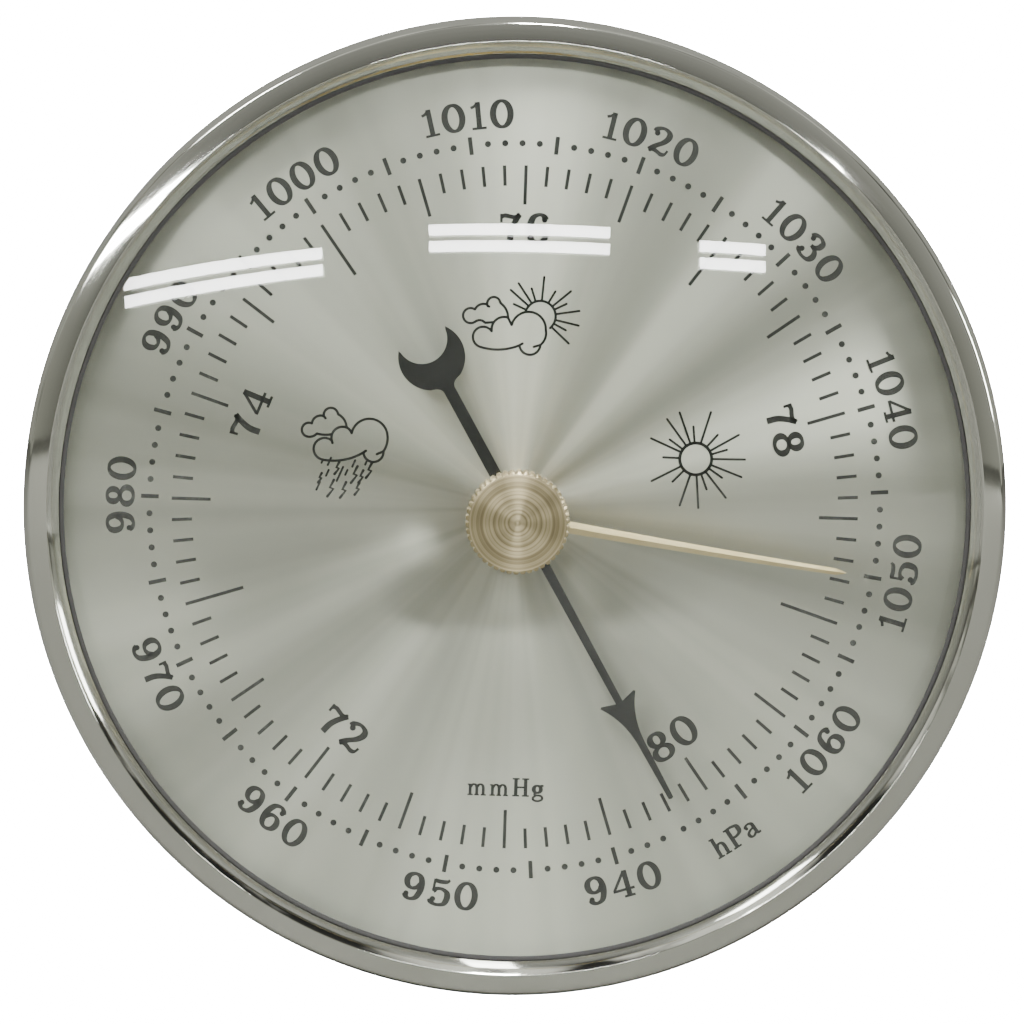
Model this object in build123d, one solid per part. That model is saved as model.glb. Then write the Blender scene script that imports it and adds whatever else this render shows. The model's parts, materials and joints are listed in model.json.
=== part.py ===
from build123d import *
import os
from math import atan2, cos, degrees, hypot, pi, radians, sin, sqrt

# Panel aneroid barometer. Millimetres. The hands turn about the Y axis, the dial faces -Y and its
# twelve o'clock is +Z. The origin is on the hands' axis, in the plane where the bezel's rolled lip
# meets the panel. "front" and "back" are Y values, and front is always the smaller one.

# Clearances
fixed_fit = 0.02          # between two pieces that are fastened together
running_fit = 0.05        # radial, between a pivot and its hole
air_gap = 0.3             # between pieces that pass each other

# Bezel: one spun sheet ring
bezel_radius = 50.0
bezel_sheet = 0.6
bezel_depth = 5.7         # lip plane to the crest of the face
shoulder_inset = 0.5      # side wall to the shoulder
shoulder_drop = 0.7       # crest to the shoulder
side_top_drop = 1.8       # crest to the top of the straight side wall
crest_inset = 2.4         # side wall to the crest between the two face bands
aperture_inset = 3.75     # side wall to the inner edge
aperture_drop = 1.2       # crest to the inner edge
rear_lip_width = 3.4
lip_bend_radius = 0.5
bend_ease = 0.15          # how much the sheet thickens behind a bend

# Case: one drawn cup with a flange that the bezel is rolled over
flange_width = 5.0        # bezel side wall to the cup's wall
case_sheet = 0.8
case_corner_radius = 3.0
flange_clearance = 0.3
access_radius = 3.5       # hole for setting the height
vent_radius = 1.0
vent_ring_radius = 12.0
vent_count = 3

# Glass
glass_thickness = 1.6
glass_rise = 9.8          # bezel edge to the outside of the dome's top
glass_tuck = 1.35         # how far the rim reaches outward past the bezel's edge
glass_lip_gap = 0.16      # dome to the bezel's inner edge, along Y
glass_flat_drop = 0.08    # ground flat on the back of the rim, past the bezel's inner edge
gasket_show = 0.5         # how far the gasket shows inside the bezel's edge
gasket_tuck = 1.05

# Dial
dial_thickness = 0.6
dial_inset = 0.35         # bezel's inner edge to the dial's edge
dial_hole_radius = 2.5
dial_foot_radius = 1.25
dial_foot_reach = 0.6     # past the back of the movement plate

# Setting knob, spindle and set hand
knob_radius = 5.2
knob_thickness = 2.4
knob_groove_count = 46
knob_groove_depth = 0.22
knob_land_share = 0.35    # of a knurl's pitch, where the land ends
knob_groove_share = 0.68  # of a knurl's pitch, where the groove is deepest
knob_chamfer = 0.35
spindle_radius = 1.0
bush_wall = 0.9
bush_flange_radius = 4.0
bush_flange_height = 0.5
bush_nut_radius = 3.4
bush_nut_height = 0.5
washer_thickness = 0.2
washer_radius = 3.4
washer_gap = 0.05
set_hand_gap = 0.75       # inside of the dome to the set hand
set_hand_thickness = 0.35
set_hand_inset = 12.0     # dial's edge to the tip
set_hand_root_width = 1.3
set_hand_tip_width = 0.65
set_hand_angle = 98.7     # clockwise from twelve o'clock
set_collet_radius = 2.2
set_collet_height = 1.6

# Indicating hand
hand_angle = 149.8
hand_thickness = 0.25
hand_tip_inset = 12.7     # dial's edge to the tip
hand_clearance = 0.5      # set hand to indicating hand
hand_shaft_width = 0.94
hand_neck_width = 0.67
hand_tip_width = 0.46
arrow_length = 11.4       # tip to the barbs
arrow_half_width = 1.95
arrow_shoulder = 5.0      # barbs to the end of the arrow's curved sides
arrow_notch = 0.35
tail_shaft_width = 1.12
crescent_distance = 17.8
crescent_radius = 3.34
crescent_bite_shift = 2.1
crescent_bite_radius = 2.6
hub_radius = 2.3
hand_collet_radius = 1.5
hand_collet_height = 1.5
hub_height = 0.5

# Arbor train behind the dial
arbor_radius = 0.5
plate_gap = 2.0           # dial's back to the movement plate
plate_thickness = 1.2
plate_bush_radius = 1.9
bush_stand = 0.25         # how far a bush stands out of its plate
spring_gap = 0.5          # plate to hairspring
hairspring_height = 0.6
hairspring_strip = 0.15
hairspring_turns = 5
hairspring_outer_radius = 7.0
hairspring_collet_radius = 1.6
hairspring_stud_size = 1.2
drum_gap = 0.6            # hairspring to drum
drum_core_radius = 0.75
drum_flange_radius = 1.9
drum_flange_thickness = 0.4
drum_width = 2.0
cock_gap = 1.0            # drum to cock
cock_thickness = 1.0
cock_width = 4.4
cock_pillar_distance = 10.0
cock_pillar_radius = 1.5
cock_bush_radius = 1.3

# Chain, rockshaft and main lever
chain_width = 0.9
chain_height = 0.5
chain_pitch = 1.2
chain_plate = 0.2
chain_pin_radius = 0.35
arm_length = 10.0         # rockshaft axis to the chain pin
arm_thickness = 1.0
arm_width = 1.6
arm_lift = 1.7            # lowest point of the arm above the hands' axis
crank_length = 3.0        # rockshaft axis to the lever's end pin
crank_thickness = 1.2
crank_top = -1.8
crank_overrun = 1.8
crank_wall = 0.8          # beside the crank's slot
rock_clearance = 2.0      # capsule's rim to the rockshaft axis
rockshaft_radius = 1.3
rock_pivot_radius = 0.9
rock_half_length = 6.2
rock_post_thickness = 2.2
rock_post_width = 3.2
rock_hub_radius = 2.1
lever_gap = 1.0           # cock's back to the lever
lever_thickness = 1.2
lever_width = 3.0
lever_hub_radius = 1.6
lever_pivot_radius = 0.6
lever_clearance = 4.0     # capsule's rim to the lever's pivot axis
lever_jog_start = 6.0     # before the rockshaft axis
lever_end_top = -4.7
lever_end_depth = 1.8
leg_wall = 0.4            # round the end pin
leg_overreach = 0.6       # past the end pin
end_pin_radius = 0.5
end_pin_play = 0.1
post_ear = 1.2
post_width = 3.2
post_crown = 1.8          # above the lever's pivot axis

# Capsule and its seat
capsule_radius = 20.0
capsule_sheet = 0.25
capsule_seam_width = 1.5
capsule_bulge = 2.4
capsule_waves = 4
capsule_wave_height = 0.35
capsule_boss_radius = 3.5
stem_radius = 1.5
stem_foot_radius = 3.0
stem_foot_height = 0.5
stem_straight = 0.2       # rounded tip to the capsule's boss
stem_gap = 0.05
seat_radius = 4.5
seat_height = 1.75
seat_socket_depth = 1.0
seat_gap = 0.5            # seat to base plate

# Adjusting screw
screw_radius = 2.0
screw_tip_gap = 0.2
screw_head_radius = 3.0
screw_head_height = 1.6
screw_head_gap = 0.4
screw_bush_wall = 2.0
screw_bush_rim = 1.0
screw_bush_rim_height = 0.6
slot_width = 0.8
slot_depth = 0.7

# Base plate, pillars, spacers and fasteners
base_thickness = 1.6
ring_clearance = 9.0      # capsule's rim to the ring of pillars
plate_margin = 4.0        # ring of pillars to a plate's edge
window_spread = 1.2       # height of the plate's windows, as a share of their gap
pillar_radius = 2.0
rear_gap = 3.2            # base plate to the case's back
spacer_wall = 1.4
small_screw_radius = 1.0
small_head_radius = 1.9
small_head_height = 1.0
small_screw_reach = 4.0   # past the plate that it holds
post_screw_radius = 0.8
case_screw_radius = 1.5
case_head_radius = 2.8
case_head_height = 1.4
pillar_angles = (60, 180, 300)
spacer_angles = (0, 120, 240)


def dome_y(sphere_radius, radius):
    """Y of a sphere about the dome's centre at a distance from the hands' axis."""
    return dome_centre - sqrt(sphere_radius ** 2 - radius ** 2)


# ---------------------------------------------------------------- worked-out places
crest_front = -bezel_depth
crest_radius = bezel_radius - crest_inset
shoulder_radius = bezel_radius - shoulder_inset
aperture_radius = bezel_radius - aperture_inset
aperture_front = crest_front + aperture_drop

case_radius = bezel_radius - flange_width
case_bore = case_radius - case_sheet
flange_back = -bezel_sheet
flange_front = flange_back - case_sheet
flange_radius = bezel_radius - bezel_sheet - flange_clearance

dial_back = flange_front
dial_front = dial_back - dial_thickness
dial_radius = aperture_radius - dial_inset

glass_rim_radius = aperture_radius + glass_tuck
glass_edge_front = aperture_front + bezel_sheet / 2 + glass_lip_gap
dome_top = aperture_front + bezel_sheet / 2 - glass_rise
dome_drop = glass_edge_front - dome_top
dome_outer = (aperture_radius ** 2 + dome_drop ** 2) / (2 * dome_drop)
dome_inner = dome_outer - glass_thickness
dome_centre = dome_top + dome_outer
bush_radius = spindle_radius + running_fit + bush_wall
glass_hole_radius = bush_radius + fixed_fit
glass_flat_y = dome_y(dome_inner, aperture_radius) + glass_flat_drop

set_blade_outer = dome_inner - set_hand_gap
set_blade_inner = set_blade_outer - set_hand_thickness
set_hand_length = dial_radius - set_hand_inset
hand_length = dial_radius - hand_tip_inset
bush_flange_front = dome_top - bush_flange_height
knob_back = bush_flange_front - washer_thickness - 2 * washer_gap
knob_front = knob_back - knob_thickness
knob_bore_end = knob_front + knob_thickness / 3
nut_front = dome_y(dome_inner, bush_nut_radius)
nut_back = nut_front + bush_nut_height
set_blade_root = dome_y(set_blade_inner, 0)
collet_front = set_blade_root + fixed_fit
collet_back = collet_front + set_collet_height

hand_front = dome_y(set_blade_inner, set_hand_length) + hand_clearance
hand_back = hand_front + hand_thickness
hub_back = hand_back + fixed_fit + hub_height
arbor_front = hand_front - fixed_fit - air_gap

plate_front = dial_back + plate_gap
plate_back = plate_front + plate_thickness
spring_front = plate_back + spring_gap
spring_back = spring_front + hairspring_height
drum_front = spring_back + drum_gap
drum_back = drum_front + drum_width + 2 * drum_flange_thickness
chain_plane = (drum_front + drum_back) / 2
cock_front = drum_back + cock_gap
cock_back = cock_front + cock_thickness
arbor_back = cock_back + bush_stand
lever_front = cock_back + lever_gap
lever_back = lever_front + lever_thickness
lever_plane = (lever_front + lever_back) / 2

stem_front = lever_back + stem_gap
stem_back = stem_front + stem_radius + stem_straight
seam_plane = stem_back + capsule_bulge + capsule_sheet
seat_front = seam_plane + capsule_bulge + capsule_sheet
seat_back = seat_front + seat_height
base_front = seat_back + seat_gap
base_back = base_front + base_thickness
case_floor = base_back + rear_gap
case_back = case_floor + case_sheet

ring_radius = capsule_radius + ring_clearance
plate_radius = ring_radius + plate_margin

rock_x = capsule_radius + rock_clearance
rock_y = chain_plane + arm_length
lever_x = -capsule_radius - lever_clearance
chain_line = drum_core_radius + running_fit + chain_height / 2
rest_turn = 180 * chain_line / arm_length     # rockshaft back from its middle, in degrees
arm_tip_x = rock_x - arm_length * sin(radians(rest_turn))
arm_tip_y = rock_y - arm_length * cos(radians(rest_turn))
end_pin_x = rock_x + crank_length * cos(radians(rest_turn))
end_pin_y = rock_y - crank_length * sin(radians(rest_turn))
end_pin_shift = (end_pin_y - lever_plane) * (rock_y - end_pin_y) / (end_pin_x - lever_x)
post_half = lever_width / 2 + air_gap


# ---------------------------------------------------------------- shared shapes
def rod(radius, front, back, x=0.0, z=0.0):
    """Solid cylinder along Y."""
    return Pos(x, (front + back) / 2, z) * Rot(90, 0, 0) * Cylinder(radius, back - front)


def tube(outer, inner, front, back, x=0.0, z=0.0):
    """Hollow cylinder along Y."""
    return rod(outer, front, back, x, z) - rod(inner, front - 1, back + 1, x, z)


def bar(x_range, y_range, z_range):
    """Rectangular block between two values on each axis."""
    size = [high - low for low, high in (x_range, y_range, z_range)]
    middle = [(high + low) / 2 for low, high in (x_range, y_range, z_range)]
    return Pos(*middle) * Box(*size)


def upright(radius, x, y, z_low, z_high):
    """Solid cylinder along Z."""
    return Pos(x, y, (z_low + z_high) / 2) * Cylinder(radius, z_high - z_low)


def turned(points):
    """Ring or disc turned about Y from straight-sided (radius, y) corners."""
    return revolve(make_face(Polyline(*points, close=True)), axis=Axis.Y)


def plate(sketch, front, back):
    """Flat piece cut to an (x, z) outline."""
    return extrude(Plane.XZ.offset(-back) * sketch, back - front)


def on_ring(shape, angle):
    """The shape turned clockwise, as seen from the front, about the hands' axis."""
    return Rot(0, angle, 0) * shape


def slotted_screw(seat, tip, radius, head_radius, head_height, x=0.0, z=0.0):
    """Cheese-head screw along Y: its head sits on the seat, on the side away from the tip."""
    outward = -1 if tip > seat else 1
    top = seat + outward * head_height
    slot_floor = top - outward * slot_depth
    body = rod(radius, min(seat, tip), max(seat, tip), x, z)
    body += rod(head_radius, min(seat, top), max(seat, top), x, z)
    slot_y = (min(slot_floor, top + outward), max(slot_floor, top + outward))
    half = slot_width / 2
    return body - bar((x - head_radius - 1, x + head_radius + 1), slot_y, (z - half, z + half))


def dome_arc(sphere_radius, start, end):
    """Arc of such a sphere's section between two distances from the hands' axis."""
    middle = (start + end) / 2
    places = [(r, dome_y(sphere_radius, r)) for r in (start, middle, end)]
    return ThreePointArc(*places)


# ---------------------------------------------------------------- case, bezel and glass
def band_normal():
    """Unit direction from the face of the inner band into the sheet, as (radius, y)."""
    run = crest_radius - aperture_radius
    length = hypot(run, aperture_drop)
    return aperture_drop / length, run / length


def make_bezel():
    """Spun ring: rolled lip, side wall, outer band, crest, inner band."""
    inward_r, inward_y = band_normal()
    wall_inside = bezel_radius - bezel_sheet
    outer_slope = atan2(shoulder_drop, crest_inset - shoulder_inset)
    drop = bezel_sheet / cos(outer_slope)
    points = [
        (bezel_radius - rear_lip_width, 0),
        (bezel_radius, 0),
        (bezel_radius, crest_front + side_top_drop),
        (shoulder_radius, crest_front + shoulder_drop),
        (crest_radius, crest_front),
        (aperture_radius, aperture_front),
        (aperture_radius + bezel_sheet * inward_r, aperture_front + bezel_sheet * inward_y),
        (crest_radius + bend_ease, crest_front + drop + bend_ease),
        (wall_inside - shoulder_inset, crest_front + shoulder_drop + drop - bend_ease / 2),
        (wall_inside, crest_front + side_top_drop + bend_ease),
        (wall_inside, -bezel_sheet),
        (bezel_radius - rear_lip_width, -bezel_sheet),
    ]
    section = make_face(Polyline(*points, close=True))
    rolled = section.vertices().filter_by(
        lambda v: abs(v.X - bezel_radius) < 0.01 and abs(v.Y) < 0.01
    )
    section = fillet(rolled, lip_bend_radius)
    shoulder = section.vertices().filter_by(
        lambda v: abs(v.X - shoulder_radius) < 0.01 and abs(v.Y - crest_front - shoulder_drop) < 0.01
    )
    section = fillet(shoulder, shoulder_inset / 2)
    return revolve(section, axis=Axis.Y)


def make_case():
    """Drawn cup with a front flange; its back has an access hole, vents and screw holes."""
    points = [
        (flange_radius, flange_back),
        (case_radius, flange_back),
        (case_radius, case_back),
        (0, case_back),
        (0, case_floor),
        (case_bore, case_floor),
        (case_bore, flange_front),
        (flange_radius, flange_front),
    ]
    section = make_face(Polyline(*points, close=True))
    outer_corner = section.vertices().filter_by(
        lambda v: abs(v.X - case_radius) < 0.01 and abs(v.Y - case_back) < 0.01
    )
    section = fillet(outer_corner, case_corner_radius)
    inner_corner = section.vertices().filter_by(
        lambda v: abs(v.X - case_bore) < 0.01 and abs(v.Y - case_floor) < 0.01
    )
    section = fillet(inner_corner, case_corner_radius - case_sheet)
    mouth = section.vertices().filter_by(
        lambda v: abs(v.X - case_bore) < 0.01 and abs(v.Y - flange_front) < 0.01
    )
    section = fillet(mouth, case_sheet / 2)
    cup = revolve(section, axis=Axis.Y)
    cup -= rod(access_radius, case_floor - 1, case_back + 1)
    for number in range(vent_count):
        vent = rod(vent_radius, case_floor - 1, case_back + 1, z=-vent_ring_radius)
        cup -= on_ring(vent, number * 360 / vent_count)
    for angle in spacer_angles:
        hole = rod(case_screw_radius + fixed_fit, case_floor - 1, case_back + 1, z=ring_radius)
        cup -= on_ring(hole, angle)
    return cup


def make_glass():
    """Domed glass of even thickness with a ground rim and a hole for the bush."""
    flat_radius = sqrt(dome_inner ** 2 - (dome_centre - glass_flat_y) ** 2)
    outer = dome_arc(dome_outer, glass_hole_radius, glass_rim_radius)
    inner = dome_arc(dome_inner, glass_hole_radius, flat_radius)
    rim_front = (glass_rim_radius, dome_y(dome_outer, glass_rim_radius))
    rim_back = (glass_rim_radius, glass_flat_y)
    edges = [
        outer,
        Line(rim_front, rim_back),
        Line(rim_back, (flat_radius, glass_flat_y)),
        inner,
        Line(
            (glass_hole_radius, dome_y(dome_inner, glass_hole_radius)),
            (glass_hole_radius, dome_y(dome_outer, glass_hole_radius)),
        ),
    ]
    return revolve(make_face(edges), axis=Axis.Y)


def make_gasket():
    """Black sealing ring that fills the wedge between the dome and the bezel's inner band."""
    inward_r, inward_y = band_normal()
    show_radius = aperture_radius - gasket_show
    tuck_radius = aperture_radius + gasket_tuck
    corner = (
        aperture_radius + bezel_sheet * inward_r,
        aperture_front + bezel_sheet * inward_y + fixed_fit,
    )
    slope = aperture_drop / (crest_radius - aperture_radius)
    lift = air_gap / 2
    tuck_front = corner[1] - (tuck_radius - corner[0]) * slope + lift
    glass_face = dome_outer + fixed_fit
    nose = (show_radius, dome_y(glass_face, show_radius) - bend_ease)
    brow = (aperture_radius - fixed_fit, aperture_front + fixed_fit)
    edges = [
        dome_arc(glass_face, show_radius, tuck_radius),
        Line((tuck_radius, dome_y(glass_face, tuck_radius)), (tuck_radius, tuck_front)),
        Line((tuck_radius, tuck_front), (corner[0], corner[1])),
        Line((corner[0], corner[1]), brow),
        Line(brow, nose),
        Line(nose, (show_radius, dome_y(glass_face, show_radius))),
    ]
    return revolve(make_face(edges), axis=Axis.Y)


def make_seat_ring():
    """Flat ring on the case's flange that pushes the glass up against the gasket."""
    inner = dial_radius + air_gap
    outer = flange_radius - flange_clearance
    return tube(outer, inner, glass_flat_y, flange_front)


# ---------------------------------------------------------------- dial
def dial_foot_holes(radius, front, back):
    """The two places on the ring of pillars where the dial's feet stand, as cylinders."""
    return [rod(radius, front, back, x=side * ring_radius) for side in (-1, 1)]


def make_dial():
    """Flat disc with a hole for the hand's collet."""
    return tube(dial_radius, dial_hole_radius, dial_front, dial_back)


def make_dial_feet():
    """Two pins on the dial's back that drop through the movement plate."""
    return Compound(dial_foot_holes(dial_foot_radius, dial_back, plate_back + dial_foot_reach))


# ---------------------------------------------------------------- setting knob and set hand
def make_knob():
    """Flat-faced knob with a straight-knurled edge and a blind hole for the spindle."""
    pitch = 2 * pi / knob_groove_count
    tooth = [
        (0, knob_radius),
        (knob_land_share, knob_radius),
        (knob_groove_share, knob_radius - knob_groove_depth),
    ]
    outline = []
    for number in range(knob_groove_count):
        for share, radius in tooth:
            angle = (number + share) * pitch
            outline.append((radius * sin(angle), radius * cos(angle)))
    knurl = plate(make_face(Polyline(*outline, close=True)), knob_front, knob_back)
    blank = turned([
        (0, knob_front),
        (knob_radius - knob_chamfer, knob_front),
        (knob_radius + fixed_fit, knob_front + knob_chamfer),
        (knob_radius + fixed_fit, knob_back),
        (0, knob_back),
    ])
    bore = rod(spindle_radius + fixed_fit, knob_bore_end, knob_back + 1)
    return (knurl & blank) - bore


def make_spindle():
    """Spindle from inside the knob to the back of the set hand's collet."""
    return rod(spindle_radius, knob_bore_end + fixed_fit, collet_back)


def make_washer():
    """Flat friction washer between the knob and the bush."""
    front = knob_back + washer_gap
    return tube(washer_radius, spindle_radius + air_gap, front, front + washer_thickness)


def make_glass_bush():
    """Flanged bush in the glass."""
    bore = spindle_radius + running_fit
    body = rod(bush_radius, dome_top, nut_back) + rod(bush_flange_radius, bush_flange_front, dome_top)
    return body - rod(bore, bush_flange_front - 1, nut_back + 1)


def make_bush_nut():
    """Round nut that clamps the bush from inside the glass."""
    return tube(bush_nut_radius, bush_radius + fixed_fit, nut_front, nut_back)


def make_set_collet():
    """Collet that holds the set hand on its spindle."""
    return tube(set_collet_radius, spindle_radius + fixed_fit, collet_front, collet_back)


def make_set_hand():
    """Narrow blade that follows the inside of the dome."""
    root = set_hand_root_width / 2
    tip = set_hand_tip_width / 2
    outline = make_face(Polyline(
        (-root, 0), (-tip, set_hand_length - tip), (0, set_hand_length), (tip, set_hand_length - tip),
        (root, 0), close=True,
    ))
    blade = outline + Circle(set_collet_radius)
    deep = plate(blade, dome_top, dial_front)
    reach = set_hand_length + 1
    shell = revolve(make_face([
        dome_arc(set_blade_outer, 0, reach),
        Line((reach, dome_y(set_blade_outer, reach)), (reach, dome_y(set_blade_inner, reach))),
        dome_arc(set_blade_inner, 0, reach),
        Line((0, dome_y(set_blade_inner, 0)), (0, dome_y(set_blade_outer, 0))),
    ]), axis=Axis.Y)
    hand = (deep & shell) - rod(spindle_radius + fixed_fit, dome_top, dial_front)
    return on_ring(hand, set_hand_angle)


# ---------------------------------------------------------------- indicating hand and its arbor
def make_indicating_hand():
    """Flat hand: arrow at one end, crescent counterweight at the other."""
    barb = hand_length - arrow_length
    notch = barb + arrow_notch
    neck = hand_neck_width / 2
    waist = hand_neck_width / 2
    tip = hand_tip_width / 2
    shoulder = barb + arrow_shoulder
    right_side = Spline(
        (arrow_half_width, barb), (waist, shoulder), tangents=[(-0.75, 1), (-0.02, 1)]
    )
    left_side = Spline(
        (-arrow_half_width, barb), (-waist, shoulder), tangents=[(0.75, 1), (0.02, 1)]
    )
    arrow = make_face([
        Line((-neck, notch), (-arrow_half_width, barb)),
        left_side,
        Line((-waist, shoulder), (-tip, hand_length)),
        Line((-tip, hand_length), (tip, hand_length)),
        Line((tip, hand_length), (waist, shoulder)),
        right_side,
        Line((arrow_half_width, barb), (neck, notch)),
        Line((neck, notch), (-neck, notch)),
    ])
    root = hand_shaft_width / 2
    shaft = make_face(Polyline((-root, 0), (root, 0), (neck, notch), (-neck, notch), close=True))
    tail_half = tail_shaft_width / 2
    tail_end = crescent_distance - crescent_radius / 2
    tail = make_face(Polyline(
        (-tail_half, 0), (tail_half, 0), (tail_half, -tail_end), (-tail_half, -tail_end), close=True
    ))
    crescent = Pos(0, -crescent_distance) * Circle(crescent_radius)
    crescent -= Pos(0, -crescent_distance - crescent_bite_shift) * Circle(crescent_bite_radius)
    outline = arrow + shaft + tail + crescent + Circle(hub_radius)
    outline -= Circle(arbor_radius + fixed_fit)
    return on_ring(plate(outline, hand_front, hand_back), hand_angle)


def make_hand_collet():
    """Flanged collet behind the indicating hand."""
    body = rod(hub_radius, hand_back + fixed_fit, hub_back)
    body += rod(hand_collet_radius, hub_back, hub_back + hand_collet_height)
    return body - rod(arbor_radius + fixed_fit, hand_front, plate_back)


def make_arbor():
    """Plain steel arbor from the hand to the cock."""
    return rod(arbor_radius, arbor_front, arbor_back)


def make_plate_bush():
    """Bush in the movement plate."""
    bore = arbor_radius + running_fit
    return tube(plate_bush_radius, bore, plate_front - bush_stand, plate_back + bush_stand)


def make_cock_bush():
    """Bush in the arbor cock."""
    bore = arbor_radius + running_fit
    return tube(cock_bush_radius, bore, cock_front - bush_stand, cock_back + bush_stand)


def make_drum():
    """Chain drum with two flanges, fixed on the arbor."""
    body = rod(drum_flange_radius, drum_front, drum_front + drum_flange_thickness)
    body += rod(drum_flange_radius, drum_back - drum_flange_thickness, drum_back)
    body += rod(drum_core_radius, drum_front, drum_back)
    return body - rod(arbor_radius + fixed_fit, drum_front - 1, drum_back + 1)


def make_hairspring_collet():
    """Ring that holds the hairspring's inner end."""
    return tube(hairspring_collet_radius, arbor_radius + fixed_fit, spring_front, spring_back)


def spiral(offset):
    """Spiral in the (x, z) plane, from the collet to the stud."""
    inner = hairspring_collet_radius + running_fit + hairspring_strip / 2
    steps = hairspring_turns * 12
    places = []
    for step in range(steps + 1):
        share = step / steps
        radius = inner + share * (hairspring_outer_radius - inner) + offset
        angle = 2 * pi * hairspring_turns * share
        places.append((radius * cos(angle), radius * sin(angle)))
    return Spline(*places)


def make_hairspring():
    """Flat spiral strip."""
    half = hairspring_strip / 2
    outside = spiral(half)
    inside = spiral(-half)
    strip = make_face([
        outside,
        Line(outside @ 1, inside @ 1),
        inside,
        Line(inside @ 0, outside @ 0),
    ])
    return plate(strip, spring_front, spring_back)


def make_hairspring_stud():
    """Small post on the movement plate that holds the hairspring's outer end."""
    size = hairspring_stud_size
    near = hairspring_outer_radius + hairspring_strip / 2 + fixed_fit
    return bar((near, near + size), (plate_back, spring_back), (-size, size / 2))


# ---------------------------------------------------------------- plates and pillars
def make_movement_plate():
    """Front plate with two windows, carried on the pillars."""
    sketch = Circle(plate_radius)
    window_inner = cock_pillar_distance + 2 * cock_pillar_radius
    window_outer = ring_radius - 2 * small_head_radius - plate_thickness
    window = Circle(window_outer) - Circle(window_inner)
    sketch -= window & Rectangle(2 * plate_radius, window_inner * window_spread)
    body = plate(sketch, plate_front, plate_back)
    body -= rod(plate_bush_radius + fixed_fit, plate_front - 1, plate_back + 1)
    for hole in dial_foot_holes(dial_foot_radius + running_fit, plate_front - 1, plate_back + 1):
        body -= hole
    for angle in pillar_angles:
        hole = rod(small_screw_radius + fixed_fit, plate_front - 1, plate_back + 1, z=ring_radius)
        body -= on_ring(hole, angle)
    return body


def make_plate_pillars():
    """Three turned pillars between the plates, with a screw hole in each end."""
    pillars = []
    for angle in pillar_angles:
        pillar = rod(pillar_radius, plate_back, base_front, z=ring_radius)
        hole = small_screw_radius + fixed_fit
        reach = small_screw_reach + air_gap
        pillar -= rod(hole, plate_back - 1, plate_back + reach, z=ring_radius)
        pillar -= rod(hole, base_front - reach, base_front + 1, z=ring_radius)
        pillars.append(on_ring(pillar, angle))
    return Compound(pillars)


def make_plate_screws():
    """Screws at both ends of each pillar."""
    sizes = (small_screw_radius, small_head_radius, small_head_height)
    screws = []
    for angle in pillar_angles:
        front = slotted_screw(plate_front, plate_back + small_screw_reach, *sizes, z=ring_radius)
        back = slotted_screw(base_back, base_front - small_screw_reach, *sizes, z=ring_radius)
        screws += [on_ring(front, angle), on_ring(back, angle)]
    return Compound(screws)


def make_base_plate():
    """Rear plate: carries the capsule, the lever's post and the rockshaft's posts."""
    body = rod(plate_radius, base_front, base_back)
    body -= rod(screw_radius + running_fit + screw_bush_wall + fixed_fit, base_front - 1, base_back + 1)
    for angle in pillar_angles:
        hole = rod(small_screw_radius + fixed_fit, base_front - 1, base_back + 1, z=ring_radius)
        body -= on_ring(hole, angle)
    for angle in spacer_angles:
        hole = rod(case_screw_radius + fixed_fit, base_front - 1, base_back + 1, z=ring_radius)
        body -= on_ring(hole, angle)
    for x, z in post_screw_places():
        body -= rod(small_screw_radius + fixed_fit, base_front - 1, base_back + 1, x, z)
    return body


def make_case_spacers():
    """Tubes between the base plate and the case's back."""
    bore = case_screw_radius + fixed_fit
    spacer = tube(bore + spacer_wall, bore, base_back, case_floor, z=ring_radius)
    return Compound([on_ring(spacer, angle) for angle in spacer_angles])


def make_case_screws():
    """Screws through the case's back and the spacers into the base plate."""
    screw = slotted_screw(
        case_back, base_front, case_screw_radius, case_head_radius, case_head_height, z=ring_radius
    )
    return Compound([on_ring(screw, angle) for angle in spacer_angles])


# ---------------------------------------------------------------- arbor cock
def make_cock():
    """Bridge that carries the arbor's rear bush."""
    half = cock_pillar_distance + cock_pillar_radius
    body = bar((-cock_width / 2, cock_width / 2), (cock_front, cock_back), (-half, half))
    body -= rod(cock_bush_radius + fixed_fit, cock_front - 1, cock_back + 1)
    for side in (-1, 1):
        z = side * cock_pillar_distance
        body -= rod(small_screw_radius + fixed_fit, cock_front - 1, cock_back + 1, z=z)
    return body


def make_cock_pillars():
    """Two pillars between the movement plate and the cock."""
    pillars = []
    for side in (-1, 1):
        z = side * cock_pillar_distance
        pillar = rod(cock_pillar_radius, plate_back, cock_front, z=z)
        reach = small_screw_reach + air_gap
        pillar -= rod(small_screw_radius + fixed_fit, cock_front - reach, cock_front + 1, z=z)
        pillars.append(pillar)
    return Compound(pillars)


def make_cock_screws():
    """Two screws that hold the cock on its pillars."""
    screws = []
    for side in (-1, 1):
        screws.append(slotted_screw(
            cock_back, cock_front - small_screw_reach,
            small_screw_radius, small_head_radius, small_head_height, z=side * cock_pillar_distance,
        ))
    return Compound(screws)


# ---------------------------------------------------------------- capsule
def capsule_profile(shift):
    """Corrugated line from the boss to the seam, as (radius, rise above the seam plane)."""
    seam = capsule_radius - capsule_seam_width
    steps = capsule_waves * 2
    places = []
    for step in range(steps + 1):
        share = step / steps
        radius = capsule_boss_radius + share * (seam - capsule_boss_radius)
        wave = capsule_wave_height * (0 if step in (0, steps) else (-1) ** step)
        places.append((radius, capsule_bulge * (1 - share) + wave + shift))
    return Spline(*places, tangents=[(1, 0), (1, 0)])


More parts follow.
